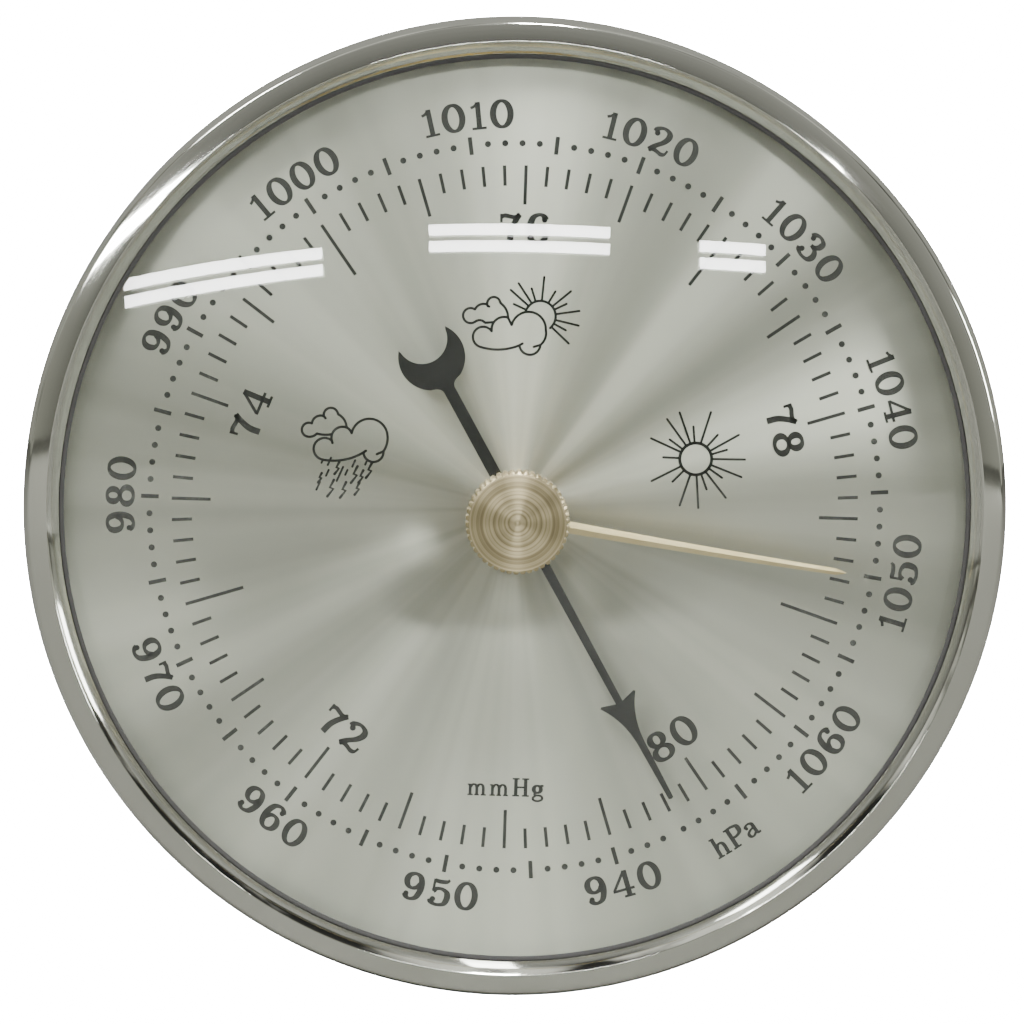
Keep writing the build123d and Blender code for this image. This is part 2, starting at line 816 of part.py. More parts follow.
def make_diaphragm(side):
    """One half of the capsule; side is -1 for the front half and 1 for the back half."""
    low = capsule_profile(0)
    high = capsule_profile(capsule_sheet)
    section = make_face([
        Line((0, capsule_bulge), low @ 0),
        low,
        Line(low @ 1, (capsule_radius, 0)),
        Line((capsule_radius, 0), (capsule_radius, capsule_sheet)),
        Line((capsule_radius, capsule_sheet), high @ 1),
        high,
        Line(high @ 0, (0, capsule_bulge + capsule_sheet)),
        Line((0, capsule_bulge + capsule_sheet), (0, capsule_bulge)),
    ])
    half = revolve(section, axis=Axis.Y)
    if side < 0:
        half = mirror(half, Plane.XZ)
    return Pos(0, seam_plane, 0) * half


def make_stem():
    """Pillar on the capsule's front boss, with a rounded tip that the lever rests on."""
    foot = rod(stem_foot_radius, stem_back - stem_foot_height, stem_back)
    ball = Pos(0, stem_front + stem_radius, 0) * Sphere(stem_radius)
    shaft = rod(stem_radius, stem_front + stem_radius, stem_back)
    return foot + shaft + (ball & rod(stem_foot_radius, stem_front - 1, stem_back))


def make_capsule_seat():
    """Boss under the capsule, with a socket for the adjusting screw's tip."""
    socket = rod(screw_radius + running_fit, seat_back - seat_socket_depth, seat_back + 1)
    return rod(seat_radius, seat_front, seat_back) - socket


def make_adjusting_bush():
    """Threaded bush in the base plate, with a rim on the plate's back."""
    outer = screw_radius + running_fit + screw_bush_wall
    body = rod(outer, base_front, base_back + screw_bush_rim_height)
    body += rod(outer + screw_bush_rim, base_back, base_back + screw_bush_rim_height)
    return body - rod(screw_radius + running_fit, base_front - 1, case_back)


def make_adjusting_screw():
    """Slotted screw that moves the capsule; its head faces the access hole."""
    tip = seat_back - seat_socket_depth + screw_tip_gap
    head_back = case_floor - screw_head_gap
    return slotted_screw(
        head_back - screw_head_height, tip, screw_radius, screw_head_radius, screw_head_height
    )


# ---------------------------------------------------------------- lever and rockshaft
def post_screw_places():
    """(x, z) of the screws that hold the lever's post and the two rockshaft posts."""
    rock_z = rock_half_length + rock_post_thickness / 2
    lever_z = (post_half + post_ear) / 2 + small_head_radius / 2
    return [(lever_x, lever_z), (lever_x, -lever_z), (rock_x, rock_z), (rock_x, -rock_z)]


def make_lever_post():
    """Forked post that carries the lever's pivot pin."""
    half = post_half + post_ear
    crown = lever_plane - post_crown
    sides = (lever_x - post_width / 2, lever_x + post_width / 2)
    body = bar(sides, (crown, base_front), (-half, half))
    body -= bar(
        (sides[0] - 1, sides[1] + 1), (crown - 1, lever_plane + lever_hub_radius + air_gap),
        (-post_half, post_half),
    )
    body -= upright(lever_pivot_radius + fixed_fit, lever_x, lever_plane, -half - 1, half + 1)
    for x, z in post_screw_places()[:2]:
        hole = small_screw_radius + fixed_fit
        body -= rod(hole, base_front - small_screw_reach - air_gap, base_front + 1, x, z)
    return body


def make_lever_pivot():
    """Pin through the post's ears and the lever."""
    half = post_half + post_ear
    return upright(lever_pivot_radius, lever_x, lever_plane, -half, half)


def make_main_lever():
    """Flat lever over the capsule, stepped aside near the rockshaft, with a leg at its end."""
    half = lever_width / 2
    leg_low = lever_end_top - lever_end_depth
    jog = rock_x - lever_jog_start
    leg_half = end_pin_radius + leg_wall
    outline = make_face(Polyline(
        (lever_x, half),
        (jog - half, half),
        (jog + half, -half),
        (end_pin_x + leg_half, lever_end_top),
        (end_pin_x + leg_half, leg_low),
        (end_pin_x - leg_half, leg_low),
        (jog - half, -half),
        (lever_x, -half),
        close=True,
    ))
    body = plate(outline, lever_front, lever_back)
    body += upright(lever_hub_radius, lever_x, lever_plane, -half, half)
    body += bar(
        (end_pin_x - leg_half, end_pin_x + leg_half),
        (lever_front, end_pin_y + end_pin_radius + leg_overreach),
        (leg_low, lever_end_top),
    )
    body -= upright(lever_pivot_radius + running_fit, lever_x, lever_plane, -half - 1, half + 1)
    body -= upright(end_pin_radius + fixed_fit, end_pin_x, end_pin_y, leg_low - 1, lever_end_top + 1)
    return body


def make_end_pin():
    """Pin in the lever's leg that works in the crank's slot."""
    leg_low = lever_end_top - lever_end_depth
    return upright(end_pin_radius, end_pin_x, end_pin_y, leg_low, crank_top + air_gap)


def turned_back(shape):
    """The shape turned from the rockshaft's middle position to its rest position."""
    axis_place = Pos(rock_x, rock_y, 0)
    return axis_place * Rot(0, 0, -rest_turn) * shape


def make_rockshaft():
    """Shaft across the movement with a smaller pivot at each end."""
    length = rock_half_length - air_gap
    body = upright(rockshaft_radius, rock_x, rock_y, -length, length)
    reach = rock_half_length + rock_post_thickness
    return body + upright(rock_pivot_radius, rock_x, rock_y, -reach, reach)


def make_rockshaft_posts():
    """Two posts on the base plate that carry the rockshaft's pivots."""
    posts = []
    crown = rock_y - rock_pivot_radius - rock_post_width / 2
    for side in (-1, 1):
        inner = rock_half_length
        outer = rock_half_length + rock_post_thickness
        low, high = sorted((side * inner, side * outer))
        sides = (rock_x - rock_post_width / 2, rock_x + rock_post_width / 2)
        post = bar(sides, (crown, base_front), (low, high))
        post -= upright(rock_pivot_radius + running_fit, rock_x, rock_y, low - 1, high + 1)
        hole_front = base_front - (base_front - rock_y - rock_pivot_radius) / 2
        z = side * (inner + rock_post_thickness / 2)
        post -= rod(post_screw_radius + fixed_fit, hole_front, base_front + 1, rock_x, z)
        posts.append(post)
    return Compound(posts)


def make_post_screws():
    """Screws through the base plate into the three posts."""
    head = (small_head_radius, small_head_height)
    screws = []
    for number, (x, z) in enumerate(post_screw_places()):
        if number < 2:
            tip = base_front - small_screw_reach
            screws.append(slotted_screw(base_back, tip, small_screw_radius, *head, x=x, z=z))
        else:
            tip = base_front - (base_front - rock_y - rock_pivot_radius) / 2 + air_gap
            screws.append(slotted_screw(base_back, tip, post_screw_radius, *head, x=x, z=z))
    return Compound(screws)


def make_rockshaft_arm():
    """Long arm that pulls the chain."""
    outline = Circle(rock_hub_radius)
    outline += Pos(0, -arm_length / 2) * Rectangle(arm_width, arm_length)
    outline += Pos(0, -arm_length) * Circle(arm_width / 2)
    outline -= Circle(rockshaft_radius + fixed_fit)
    outline -= Pos(0, -arm_length) * Circle(chain_pin_radius + fixed_fit)
    arm = extrude(outline, arm_thickness)
    return turned_back(Pos(0, 0, arm_lift) * arm)


def make_chain_pin():
    """Pin at the arm's tip that holds the chain's last link."""
    low = chain_line - chain_height
    return upright(chain_pin_radius, arm_tip_x, arm_tip_y, low, arm_lift + arm_thickness)


def make_crank():
    """Short crank with an open slot for the lever's end pin."""
    slot_half = end_pin_radius + end_pin_play
    outer_half = slot_half + crank_wall
    length = crank_length + crank_overrun
    outline = Circle(rock_hub_radius)
    outline += Pos(length / 2, 0) * Rectangle(length, 2 * outer_half)
    nearest = crank_length * cos(radians(rest_turn)) - end_pin_shift
    slot_start = nearest - end_pin_radius - 2 * end_pin_play
    outline -= Pos(slot_start + length / 2, 0) * Rectangle(length, 2 * slot_half)
    outline -= Circle(rockshaft_radius + fixed_fit)
    crank = extrude(outline, crank_thickness)
    return turned_back(Pos(0, 0, crank_top - crank_thickness) * crank)


def make_chain():
    """Straight run of riveted chain from the drum to the arm: paired plates and single plates."""
    gap_x = arm_tip_x - chain_pin_radius
    run = hypot(gap_x, arm_tip_y - chain_plane)
    tilt = degrees(atan2(arm_tip_y - chain_plane, gap_x))
    count = round(run / chain_pitch)
    pitch = run / count
    body = None
    for number in range(count):
        middle = (number + 0.5) * pitch
        length = pitch * 1.4 if 0 < number < count - 1 else pitch
        offsets = (0,) if number % 2 else (-chain_plate, chain_plate)
        for offset in offsets:
            link = Pos(middle, offset * 1.5, chain_line) * Box(length, chain_plate * 1.2, chain_height)
            body = link if body is None else body + link
        if number:
            rivet = Pos(number * pitch, 0, chain_line) * Rot(90, 0, 0)
            body += rivet * Cylinder(chain_height / 4, chain_width)
    return Pos(0, chain_plane, 0) * Rot(0, 0, tilt) * body


# ---------------------------------------------------------------- all pieces
pieces = {
    "bezel_ring": make_bezel(),
    "rear_case": make_case(),
    "front_glass": make_glass(),
    "glass_gasket": make_gasket(),
    "glass_seat_ring": make_seat_ring(),
    "dial_plate": make_dial(),
    "dial_feet": make_dial_feet(),
    "set_knob": make_knob(),
    "set_spindle": make_spindle(),
    "friction_washer": make_washer(),
    "glass_bush": make_glass_bush(),
    "bush_nut": make_bush_nut(),
    "set_hand_collet": make_set_collet(),
    "set_hand": make_set_hand(),
    "indicating_hand": make_indicating_hand(),
    "hand_collet": make_hand_collet(),
    "hand_arbor": make_arbor(),
    "plate_bush": make_plate_bush(),
    "cock_bush": make_cock_bush(),
    "chain_drum": make_drum(),
    "hairspring_collet": make_hairspring_collet(),
    "hairspring": make_hairspring(),
    "hairspring_stud": make_hairspring_stud(),
    "movement_plate": make_movement_plate(),
    "plate_pillars": make_plate_pillars(),
    "plate_screws": make_plate_screws(),
    "base_plate": make_base_plate(),
    "case_spacers": make_case_spacers(),
    "case_screws": make_case_screws(),
    "arbor_cock": make_cock(),
    "cock_pillars": make_cock_pillars(),
    "cock_screws": make_cock_screws(),
    "capsule_front": make_diaphragm(-1),
    "capsule_rear": make_diaphragm(1),
    "capsule_stem": make_stem(),
    "capsule_seat": make_capsule_seat(),
    "adjusting_bush": make_adjusting_bush(),
    "adjusting_screw": make_adjusting_screw(),
    "lever_post": make_lever_post(),
    "lever_pivot": make_lever_pivot(),
    "main_lever": make_main_lever(),
    "lever_end_pin": make_end_pin(),
    "rockshaft": make_rockshaft(),
    "rockshaft_posts": make_rockshaft_posts(),
    "rockshaft_arm": make_rockshaft_arm(),
    "rockshaft_crank": make_crank(),
    "post_screws": make_post_screws(),
    "chain_pin": make_chain_pin(),
    "fusee_chain": make_chain(),
}

os.makedirs("parts", exist_ok=True)
for name, shape in pieces.items():
    export_step(shape, f"parts/{name}.step")
    print(f"{name}: {shape.volume:.2f} mm3")
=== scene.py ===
"""Looks of a panel aneroid barometer: chromed bezel, domed glass, silvered dial and its two hands.

The dial faces -Y with twelve o'clock at +Z. Sizes in this file are millimetres and meshes are metres.
A clock angle runs clockwise from twelve o'clock, as seen from the front.
"""

import json
import logging
from collections.abc import Mapping, Sequence
from dataclasses import dataclass, field
from enum import Enum

import bpy
import numpy as np
from mathutils import Matrix, Vector

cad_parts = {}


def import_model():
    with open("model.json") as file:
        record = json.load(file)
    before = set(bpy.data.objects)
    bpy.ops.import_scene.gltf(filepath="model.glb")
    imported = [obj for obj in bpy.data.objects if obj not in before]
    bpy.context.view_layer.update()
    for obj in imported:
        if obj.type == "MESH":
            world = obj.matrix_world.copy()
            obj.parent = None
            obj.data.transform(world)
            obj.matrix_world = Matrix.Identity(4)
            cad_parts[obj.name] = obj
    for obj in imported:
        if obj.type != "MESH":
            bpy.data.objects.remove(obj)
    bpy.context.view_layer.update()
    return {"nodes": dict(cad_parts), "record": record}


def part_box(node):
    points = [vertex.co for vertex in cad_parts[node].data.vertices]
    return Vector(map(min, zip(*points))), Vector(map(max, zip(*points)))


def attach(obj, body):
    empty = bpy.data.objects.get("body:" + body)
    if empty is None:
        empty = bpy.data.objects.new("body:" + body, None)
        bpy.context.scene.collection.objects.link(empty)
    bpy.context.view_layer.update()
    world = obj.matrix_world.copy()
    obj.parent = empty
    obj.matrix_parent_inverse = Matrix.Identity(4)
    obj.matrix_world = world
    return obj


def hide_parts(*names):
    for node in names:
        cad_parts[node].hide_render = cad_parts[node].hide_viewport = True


LOG = logging.getLogger("barometer")
MM = 0.001


class Body(Enum):
    """Moving groups of the CAD model that new pieces ride on."""

    CASE = "case"
    HAND = "hand_train"
    SET = "set_assembly"


class Slot(Enum):
    """Material slots of the CAD record."""

    BEZEL = "chrome_bezel"
    CASE = "case_steel"
    GLASS = "glass"
    GASKET = "gasket_rubber"
    DIAL = "silvered_dial"
    BLACK_HAND = "black_hand"
    TURNED_BRASS = "turned_brass"
    GILT = "gilt_brass"
    MOVEMENT = "movement_brass"
    BLUED = "blued_steel"
    PIVOT = "pivot_steel"
    SCREW = "screw_steel"
    CAPSULE = "capsule_metal"
    FIBRE = "fibre"


class Facing(Enum):
    """Which way the tops of figures on a ring point."""

    OUTWARD = 1
    INWARD = -1


# ---------------------------------------------------------------- node trees
def linear(hex_colour: str) -> tuple[float, float, float, float]:
    """Converts an sRGB hex colour to linear RGBA.

    Args:
        hex_colour: Colour as "#rrggbb".

    Returns:
        Linear red, green, blue and an alpha of 1.
    """
    share = np.array([int(hex_colour[i : i + 2], 16) for i in (1, 3, 5)]) / 255
    value = np.where(share <= 0.04045, share / 12.92, ((share + 0.055) / 1.055) ** 2.4)
    return (*(float(v) for v in value), 1.0)


def node(
    tree: bpy.types.NodeTree,
    kind: str,
    settings: Mapping[str, object] | None = None,
    inputs: Mapping[str | int, object] | None = None,
) -> bpy.types.Node:
    """Adds a node to a tree.

    Args:
        tree: Tree that gets the node.
        kind: Blender's node type.
        settings: Attributes to set on the node.
        inputs: By input name or number, a socket to link or a value to set.

    Returns:
        The new node.
    """
    made = tree.nodes.new(kind)
    for name, value in (settings or {}).items():
        setattr(made, name, value)
    for key, value in (inputs or {}).items():
        if isinstance(value, bpy.types.NodeSocket):
            tree.links.new(value, made.inputs[key])
        else:
            made.inputs[key].default_value = value
    return made


def arithmetic(tree: bpy.types.NodeTree, operation: str, *values: object) -> bpy.types.NodeSocket:
    """Result of a maths node on sockets or numbers."""
    return node(tree, "ShaderNodeMath", {"operation": operation}, dict(enumerate(values))).outputs[0]


def ramp(
    tree: bpy.types.NodeTree, value: bpy.types.NodeSocket, start: float, end: float
) -> bpy.types.NodeSocket:
    """Smooth 0 to 1 share of a value between start and end."""
    inputs = {"Value": value, "From Min": start, "From Max": end}
    settings = {"interpolation_type": "SMOOTHSTEP"}
    return node(tree, "ShaderNodeMapRange", settings, inputs).outputs[0]


def between(
    tree: bpy.types.NodeTree, share: bpy.types.NodeSocket, low: float, high: float
) -> bpy.types.NodeSocket:
    """Maps a 0 to 1 socket to the range from low to high."""
    inputs = {"Value": share, "To Min": low, "To Max": high}
    return node(tree, "ShaderNodeMapRange", None, inputs).outputs[0]


def blend(
    tree: bpy.types.NodeTree, share: bpy.types.NodeSocket, first: str, second: str
) -> bpy.types.NodeSocket:
    """Mixes two sRGB hex colours by a 0 to 1 socket."""
    inputs = {"Factor": share, 6: linear(first), 7: linear(second)}
    return node(tree, "ShaderNodeMix", {"data_type": "RGBA"}, inputs).outputs[2]


def place(tree: bpy.types.NodeTree, stretch: tuple[float, float, float]) -> bpy.types.NodeSocket:
    """Object coordinates, multiplied by a stretch along each axis."""
    coordinates = node(tree, "ShaderNodeTexCoord").outputs["Object"]
    settings = {"operation": "MULTIPLY"}
    return node(tree, "ShaderNodeVectorMath", settings, {0: coordinates, 1: stretch}).outputs[0]


def mottle(
    tree: bpy.types.NodeTree, size: float, where: bpy.types.NodeSocket | None = None, detail: float = 3
) -> bpy.types.NodeSocket:
    """Soft noise from 0 to 1.

    Args:
        tree: Tree that gets the noise.
        size: Size of one blotch in millimetres.
        where: Coordinates in metres, or None for the object's own.
        detail: Number of finer layers.

    Returns:
        The noise value's socket.
    """
    where = where or place(tree, (1, 1, 1))
    inputs = {"Vector": where, "Scale": 1 / (size * MM), "Detail": detail}
    return node(tree, "ShaderNodeTexNoise", None, inputs).outputs[0]


def distance_from_axis(tree: bpy.types.NodeTree) -> bpy.types.NodeSocket:
    """Distance from the hands' axis, in metres."""
    flat = place(tree, (1, 0, 1))
    return node(tree, "ShaderNodeVectorMath", {"operation": "LENGTH"}, {0: flat}).outputs["Value"]


def ring_lines(tree: bpy.types.NodeTree, pitch: float) -> bpy.types.NodeSocket:
    """Uneven turning lines round the hands' axis, from 0 to 1; pitch is in millimetres."""
    radius = distance_from_axis(tree)
    depth = node(tree, "ShaderNodeSeparateXYZ", None, {0: place(tree, (1, 1, 1))}).outputs[1]
    spot = node(tree, "ShaderNodeCombineXYZ", None, {0: radius, 1: depth}).outputs[0]
    return mottle(tree, pitch, spot, 2)


def around(tree: bpy.types.NodeTree) -> bpy.types.NodeSocket:
    """Direction round a turned piece, from its UV map."""
    return node(tree, "ShaderNodeTangent", {"direction_type": "UV_MAP"}).outputs[0]


def relief(
    tree: bpy.types.NodeTree, height: bpy.types.NodeSocket, depth: float, strength: float = 1.0
) -> bpy.types.NodeSocket:
    """Normal of a surface with a relief; depth is in millimetres."""
    inputs = {"Height": height, "Distance": depth * MM, "Strength": strength}
    return node(tree, "ShaderNodeBump", None, inputs).outputs[0]


# ---------------------------------------------------------------- finishes
@dataclass(frozen=True)
class Finish:
    """A real material and how it was made. Subclasses fill in the shader."""

    name: str
    colour: str

    def build(self) -> bpy.types.Material:
        """Makes the material with this finish's shader."""
        material = bpy.data.materials.new(self.name)
        material.use_nodes = True
        tree = material.node_tree
        tree.nodes.clear()
        surface = self.shader(tree)
        node(tree, "ShaderNodeOutputMaterial", None, {"Surface": surface})
        return material

    def shader(self, tree: bpy.types.NodeTree) -> bpy.types.NodeSocket:
        """Builds the shader; the plain finish is a smooth dielectric."""
        return self.principled(tree, {"Base Color": linear(self.colour)})

    def principled(
        self, tree: bpy.types.NodeTree, inputs: Mapping[str | int, object]
    ) -> bpy.types.NodeSocket:
        """Adds a Principled shader with these inputs."""
        return node(tree, "ShaderNodeBsdfPrincipled", None, inputs).outputs[0]


@dataclass(frozen=True)
class PlatedChrome(Finish):
    """Chrome over spun brass: nearly a mirror, with faint turning lines and wiped-on haze."""

    haze_colour: str = "#c3c4ba"
    polish: float = 0.03
    haze: float = 0.12
    line_pitch: float = 0.25

    def shader(self, tree: bpy.types.NodeTree) -> bpy.types.NodeSocket:
        """Mirror whose roughness follows lines and haze."""
        lines = ring_lines(tree, self.line_pitch)
        smears = mottle(tree, 9)
        share = arithmetic(tree, "MULTIPLY", smears, lines)
        return self.principled(tree, {
            "Base Color": blend(tree, smears, self.colour, self.haze_colour),
            "Metallic": 1.0,
            "Roughness": between(tree, share, self.polish, self.haze),
            "Normal": relief(tree, lines, 0.0006),
        })


@dataclass(frozen=True)
class DrawnSteel(Finish):
    """Sheet drawn into a cup: dull, with draw lines along the wall and small scuffs."""

    scuff_colour: str = "#bfc0ba"

    def shader(self, tree: bpy.types.NodeTree) -> bpy.types.NodeSocket:
        """Dull metal with lines along Y."""
        draw = mottle(tree, 0.5, place(tree, (1, 0.03, 1)), 2)
        scuffs = mottle(tree, 1.2, None, 5)
        return self.principled(tree, {
            "Base Color": blend(tree, scuffs, self.colour, self.scuff_colour),
            "Metallic": 1.0,
            "Roughness": between(tree, draw, 0.28, 0.46),
            "Normal": relief(tree, draw, 0.002),
        })


@dataclass(frozen=True)
class BlownGlass(Finish):
    """Clear dome: lamps shine through it without a dark shadow."""

    index: float = 1.5

    def shader(self, tree: bpy.types.NodeTree) -> bpy.types.NodeSocket:
        """Transmission, and plain transparency for shadow rays."""
        glass = self.principled(tree, {
            "Base Color": linear(self.colour),
            "Roughness": 0.0,
            "IOR": self.index,
            "Transmission Weight": 1.0,
        })
        clear = node(tree, "ShaderNodeBsdfTransparent", None, {"Color": linear(self.colour)})
        path = node(tree, "ShaderNodeLightPath")
        inputs = {0: path.outputs["Is Shadow Ray"], 1: glass, 2: clear.outputs[0]}
        return node(tree, "ShaderNodeMixShader", None, inputs).outputs[0]


@dataclass(frozen=True)
class MouldedRubber(Finish):
    """Black sealing ring with a dusty bloom."""

    bloom_colour: str = "#2b2a28"

    def shader(self, tree: bpy.types.NodeTree) -> bpy.types.NodeSocket:
        """Soft black with grey bloom."""
        bloom = mottle(tree, 2)
        return self.principled(tree, {
            "Base Color": blend(tree, bloom, self.colour, self.bloom_colour),
            "Roughness": between(tree, bloom, 0.45, 0.7),
            "Normal": relief(tree, mottle(tree, 0.3), 0.01),
        })


@dataclass(frozen=True)
class SilveredPlate(Finish):
    """Silvered disc grained in circles, so that lamps are seen as streaks through the centre; radial wedges
    of lighter colour are painted highlight streaks as well.
    """

    # Colour of the painted highlight streaks.
    bright_colour: str = "#d2d2c5"
    grain: float = 1.0
    smooth: float = 0.36
    rough: float = 0.44
    ray_angle: float = 16.0
    line_pitch: float = 0.12

    def shader(self, tree: bpy.types.NodeTree) -> bpy.types.NodeSocket:
        """Anisotropic metal: its grain follows u of the UV map, which runs round the disc. Noise by heading
        paints lighter radial wedges into the base colour, a painted highlight streak, and makes them
        smoother.
        """
        flat = place(tree, (1, 0, 1))
        settings = {"operation": "NORMALIZE"}
        heading = node(tree, "ShaderNodeVectorMath", settings, {0: flat}).outputs[0]
        rays = mottle(tree, np.radians(self.ray_angle) / MM, heading, 3)
        lines = ring_lines(tree, self.line_pitch)
        # Lighter, smoother radial wedges: painted highlight streaks in the colour, uneven polish in the
        # roughness.
        painted_streak_share = ramp(tree, rays, 0.36, 0.66)
        return self.principled(tree, {
            "Base Color": blend(tree, painted_streak_share, self.colour, self.bright_colour),
            "Metallic": 1.0,
            "Roughness": between(tree, painted_streak_share, self.rough, self.smooth),
            "Anisotropic": self.grain,
            "Anisotropic Rotation": 0.25,
            "Tangent": around(tree),
            "Normal": relief(tree, lines, 0.0006),
        })


@dataclass(frozen=True)
class BakedPaint(Finish):
    """Satin black enamel on a thin metal hand."""

    def shader(self, tree: bpy.types.NodeTree) -> bpy.types.NodeSocket:
        """Satin dielectric with a faint orange peel."""
        peel = mottle(tree, 0.8)
        return self.principled(tree, {
            "Base Color": linear(self.colour),
            "Specular IOR Level": 0.3,
            "Roughness": between(tree, peel, 0.38, 0.5),
            "Normal": relief(tree, peel, 0.002),
        })


@dataclass(frozen=True)
class PrintedInk(Finish):
    """Pad-printed ink: matt, a little uneven in strength."""

    thin_colour: str = "#12120d"

    def shader(self, tree: bpy.types.NodeTree) -> bpy.types.NodeSocket:
        """Matt ink with slight mottling."""
        cover = mottle(tree, 0.7)
        return self.principled(tree, {
            "Base Color": blend(tree, cover, self.colour, self.thin_colour),
            "Roughness": 0.62,
            "Specular IOR Level": 0.25,
        })


@dataclass(frozen=True)
class TurnedBrass(Finish):
    """Brass cut on a lathe, with rings left by the tool, dulled by handling; its colour is painted darker and
    lighter ring by ring, a painted reflection of the turning.
    """

    # Colour of the darker rings: painted shade of the turning.
    tarnish: str = "#958a6b"
    line_pitch: float = 0.24
    line_depth: float = 0.014
    grain: float = 0.8

    def shader(self, tree: bpy.types.NodeTree) -> bpy.types.NodeSocket:
        """Metal with concentric rings, painted darker and lighter ring by ring as a painted reflection."""
        rings = ring_lines(tree, self.line_pitch)
        # Darker and lighter rings in the base colour: painted reflection of the turned rings.
        painted_ring_shade = ramp(tree, rings, 0.3, 0.65)
        return self.principled(tree, {
            "Base Color": blend(tree, painted_ring_shade, self.tarnish, self.colour),
            "Metallic": 1.0,
            "Roughness": between(tree, rings, 0.26, 0.42),
            "Anisotropic": self.grain,
            "Anisotropic Rotation": 0.25,
            "Tangent": around(tree),
            "Normal": relief(tree, rings, self.line_depth),
        })


@dataclass(frozen=True)
class MilledBrass(Finish):
    """Sheet brass, straight-grained and lacquered."""

    # Real tarnish colour here, mixed in by stains.
    tarnish: str = "#a3833f"

    def shader(self, tree: bpy.types.NodeTree) -> bpy.types.NodeSocket:
        """Metal with a grain along X."""
        grain = mottle(tree, 0.3, place(tree, (0.04, 1, 1)), 2)
        stain = mottle(tree, 5)
        return self.principled(tree, {
            "Base Color": blend(tree, stain, self.colour, self.tarnish),
            "Metallic": 1.0,
            "Roughness": between(tree, grain, 0.24, 0.42),
            "Normal": relief(tree, grain, 0.003),
        })


@dataclass(frozen=True)
class Steel(Finish):
    """Small steel pieces, ground, turned or blued."""

    dark_colour: str = "#6f7072"
    smooth: float = 0.18
    rough: float = 0.34
    grain_size: float = 0.2

    def shader(self, tree: bpy.types.NodeTree) -> bpy.types.NodeSocket:
        """Metal with fine grinding marks."""
        marks = mottle(tree, self.grain_size, place(tree, (1, 0.1, 1)), 2)
        tint = mottle(tree, 2)
        return self.principled(tree, {
            "Base Color": blend(tree, tint, self.colour, self.dark_colour),
            "Metallic": 1.0,
            "Roughness": between(tree, marks, self.smooth, self.rough),
            "Normal": relief(tree, marks, 0.002),
        })


@dataclass(frozen=True)
class Fibre(Finish):
    """Vulcanised fibre washer."""

    fleck: str = "#6e3a1d"

    def shader(self, tree: bpy.types.NodeTree) -> bpy.types.NodeSocket:
        """Matt sheet with pressed fibres."""
        threads = mottle(tree, 0.2, None, 5)
        return self.principled(tree, {
            "Base Color": blend(tree, threads, self.colour, self.fleck),
            "Roughness": 0.7,
            "Normal": relief(tree, threads, 0.01),
        })


@dataclass(frozen=True)
class StudioPaper(Finish):
    """White sweep that shows as plain white and still takes light and shadow."""

    glow: float = 60.0

    def shader(self, tree: bpy.types.NodeTree) -> bpy.types.NodeSocket:
        """Diffuse paper, lifted to white where the camera sees it."""
        paper = node(tree, "ShaderNodeBsdfDiffuse", None, {"Color": linear(self.colour)}).outputs[0]
        seen = node(tree, "ShaderNodeLightPath").outputs["Is Camera Ray"]
        strength = arithmetic(tree, "MULTIPLY", seen, self.glow)
        glow = node(tree, "ShaderNodeEmission", None, {"Strength": strength}).outputs[0]
        return node(tree, "ShaderNodeAddShader", None, {0: paper, 1: glow}).outputs[0]


FINISHES: dict[Slot, Finish] = {
    Slot.BEZEL: PlatedChrome("plated_chrome", "#d4d5cd"),
    Slot.CASE: DrawnSteel("drawn_steel", "#cbccc6"),
    Slot.GLASS: BlownGlass("blown_glass", "#fbfdfb"),
    Slot.GASKET: MouldedRubber("moulded_rubber", "#1c1c1a"),
    Slot.DIAL: SilveredPlate("silvered_plate", "#b6b6a9"),
    Slot.BLACK_HAND: BakedPaint("black_enamel", "#0b0b08"),
    Slot.TURNED_BRASS: TurnedBrass("turned_brass", "#c8bb95"),
    Slot.GILT: MilledBrass("gilt_brass", "#e2d3a8", "#cdb883"),
    Slot.MOVEMENT: MilledBrass("milled_brass", "#c9a659"),
    Slot.BLUED: Steel("blued_steel", "#2c3454", "#1b2036", 0.15, 0.25),
    Slot.PIVOT: Steel("ground_steel", "#b9babc"),
    Slot.SCREW: Steel("turned_steel", "#a9abae", "#77797c", 0.22, 0.4),
    # Its third colour is the darker ring colour, painted shade as on the turned brass.
    Slot.CAPSULE: TurnedBrass("pressed_nickel_silver", "#b9b3a0", "#8f8a78", 0.5, 0.003, 0.0),
    Slot.FIBRE: Fibre("vulcanised_fibre", "#8a4a24"),
}
INK = PrintedInk("printed_ink", "#0a0a06")


@dataclass
class Paintshop:
    """Makes each material once and puts it on pieces."""

    made: dict[str, bpy.types.Material] = field(default_factory=dict)

    def deliver(
        self, piece: bpy.types.Object, slot: Slot, body: Body, replaced: str | None = None
    ) -> bpy.types.Object:
        """Coats a new piece and tells the frame about it.

        Args:
            piece: New mesh object.
            slot: Material slot, which also picks the finish.
            body: Body that the piece rides on.
            replaced: CAD node that it stands in for.

        Returns:
            The same piece.
        """
        self.coat(piece, FINISHES[slot])
        if replaced:
            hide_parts(replaced)
        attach(piece, body.value)
        return piece

    def coat(self, piece: bpy.types.Object, finish: Finish) -> None:
        """Gives a piece one finish in its first material slot."""
        if finish.name not in self.made:
            self.made[finish.name] = finish.build()
        material = self.made[finish.name]
        if piece.data.materials:
            piece.data.materials[0] = material
        else:
            piece.data.materials.append(material)


# ---------------------------------------------------------------- shapes
@dataclass(frozen=True)
class Extent:
    """Lowest and highest corner of a CAD node, in millimetres."""

    low: Vector
    high: Vector

    @classmethod
    def of(cls, name: str) -> "Extent":
        """Reads a CAD node's box."""
        low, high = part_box(name)
        return cls(low / MM, high / MM)


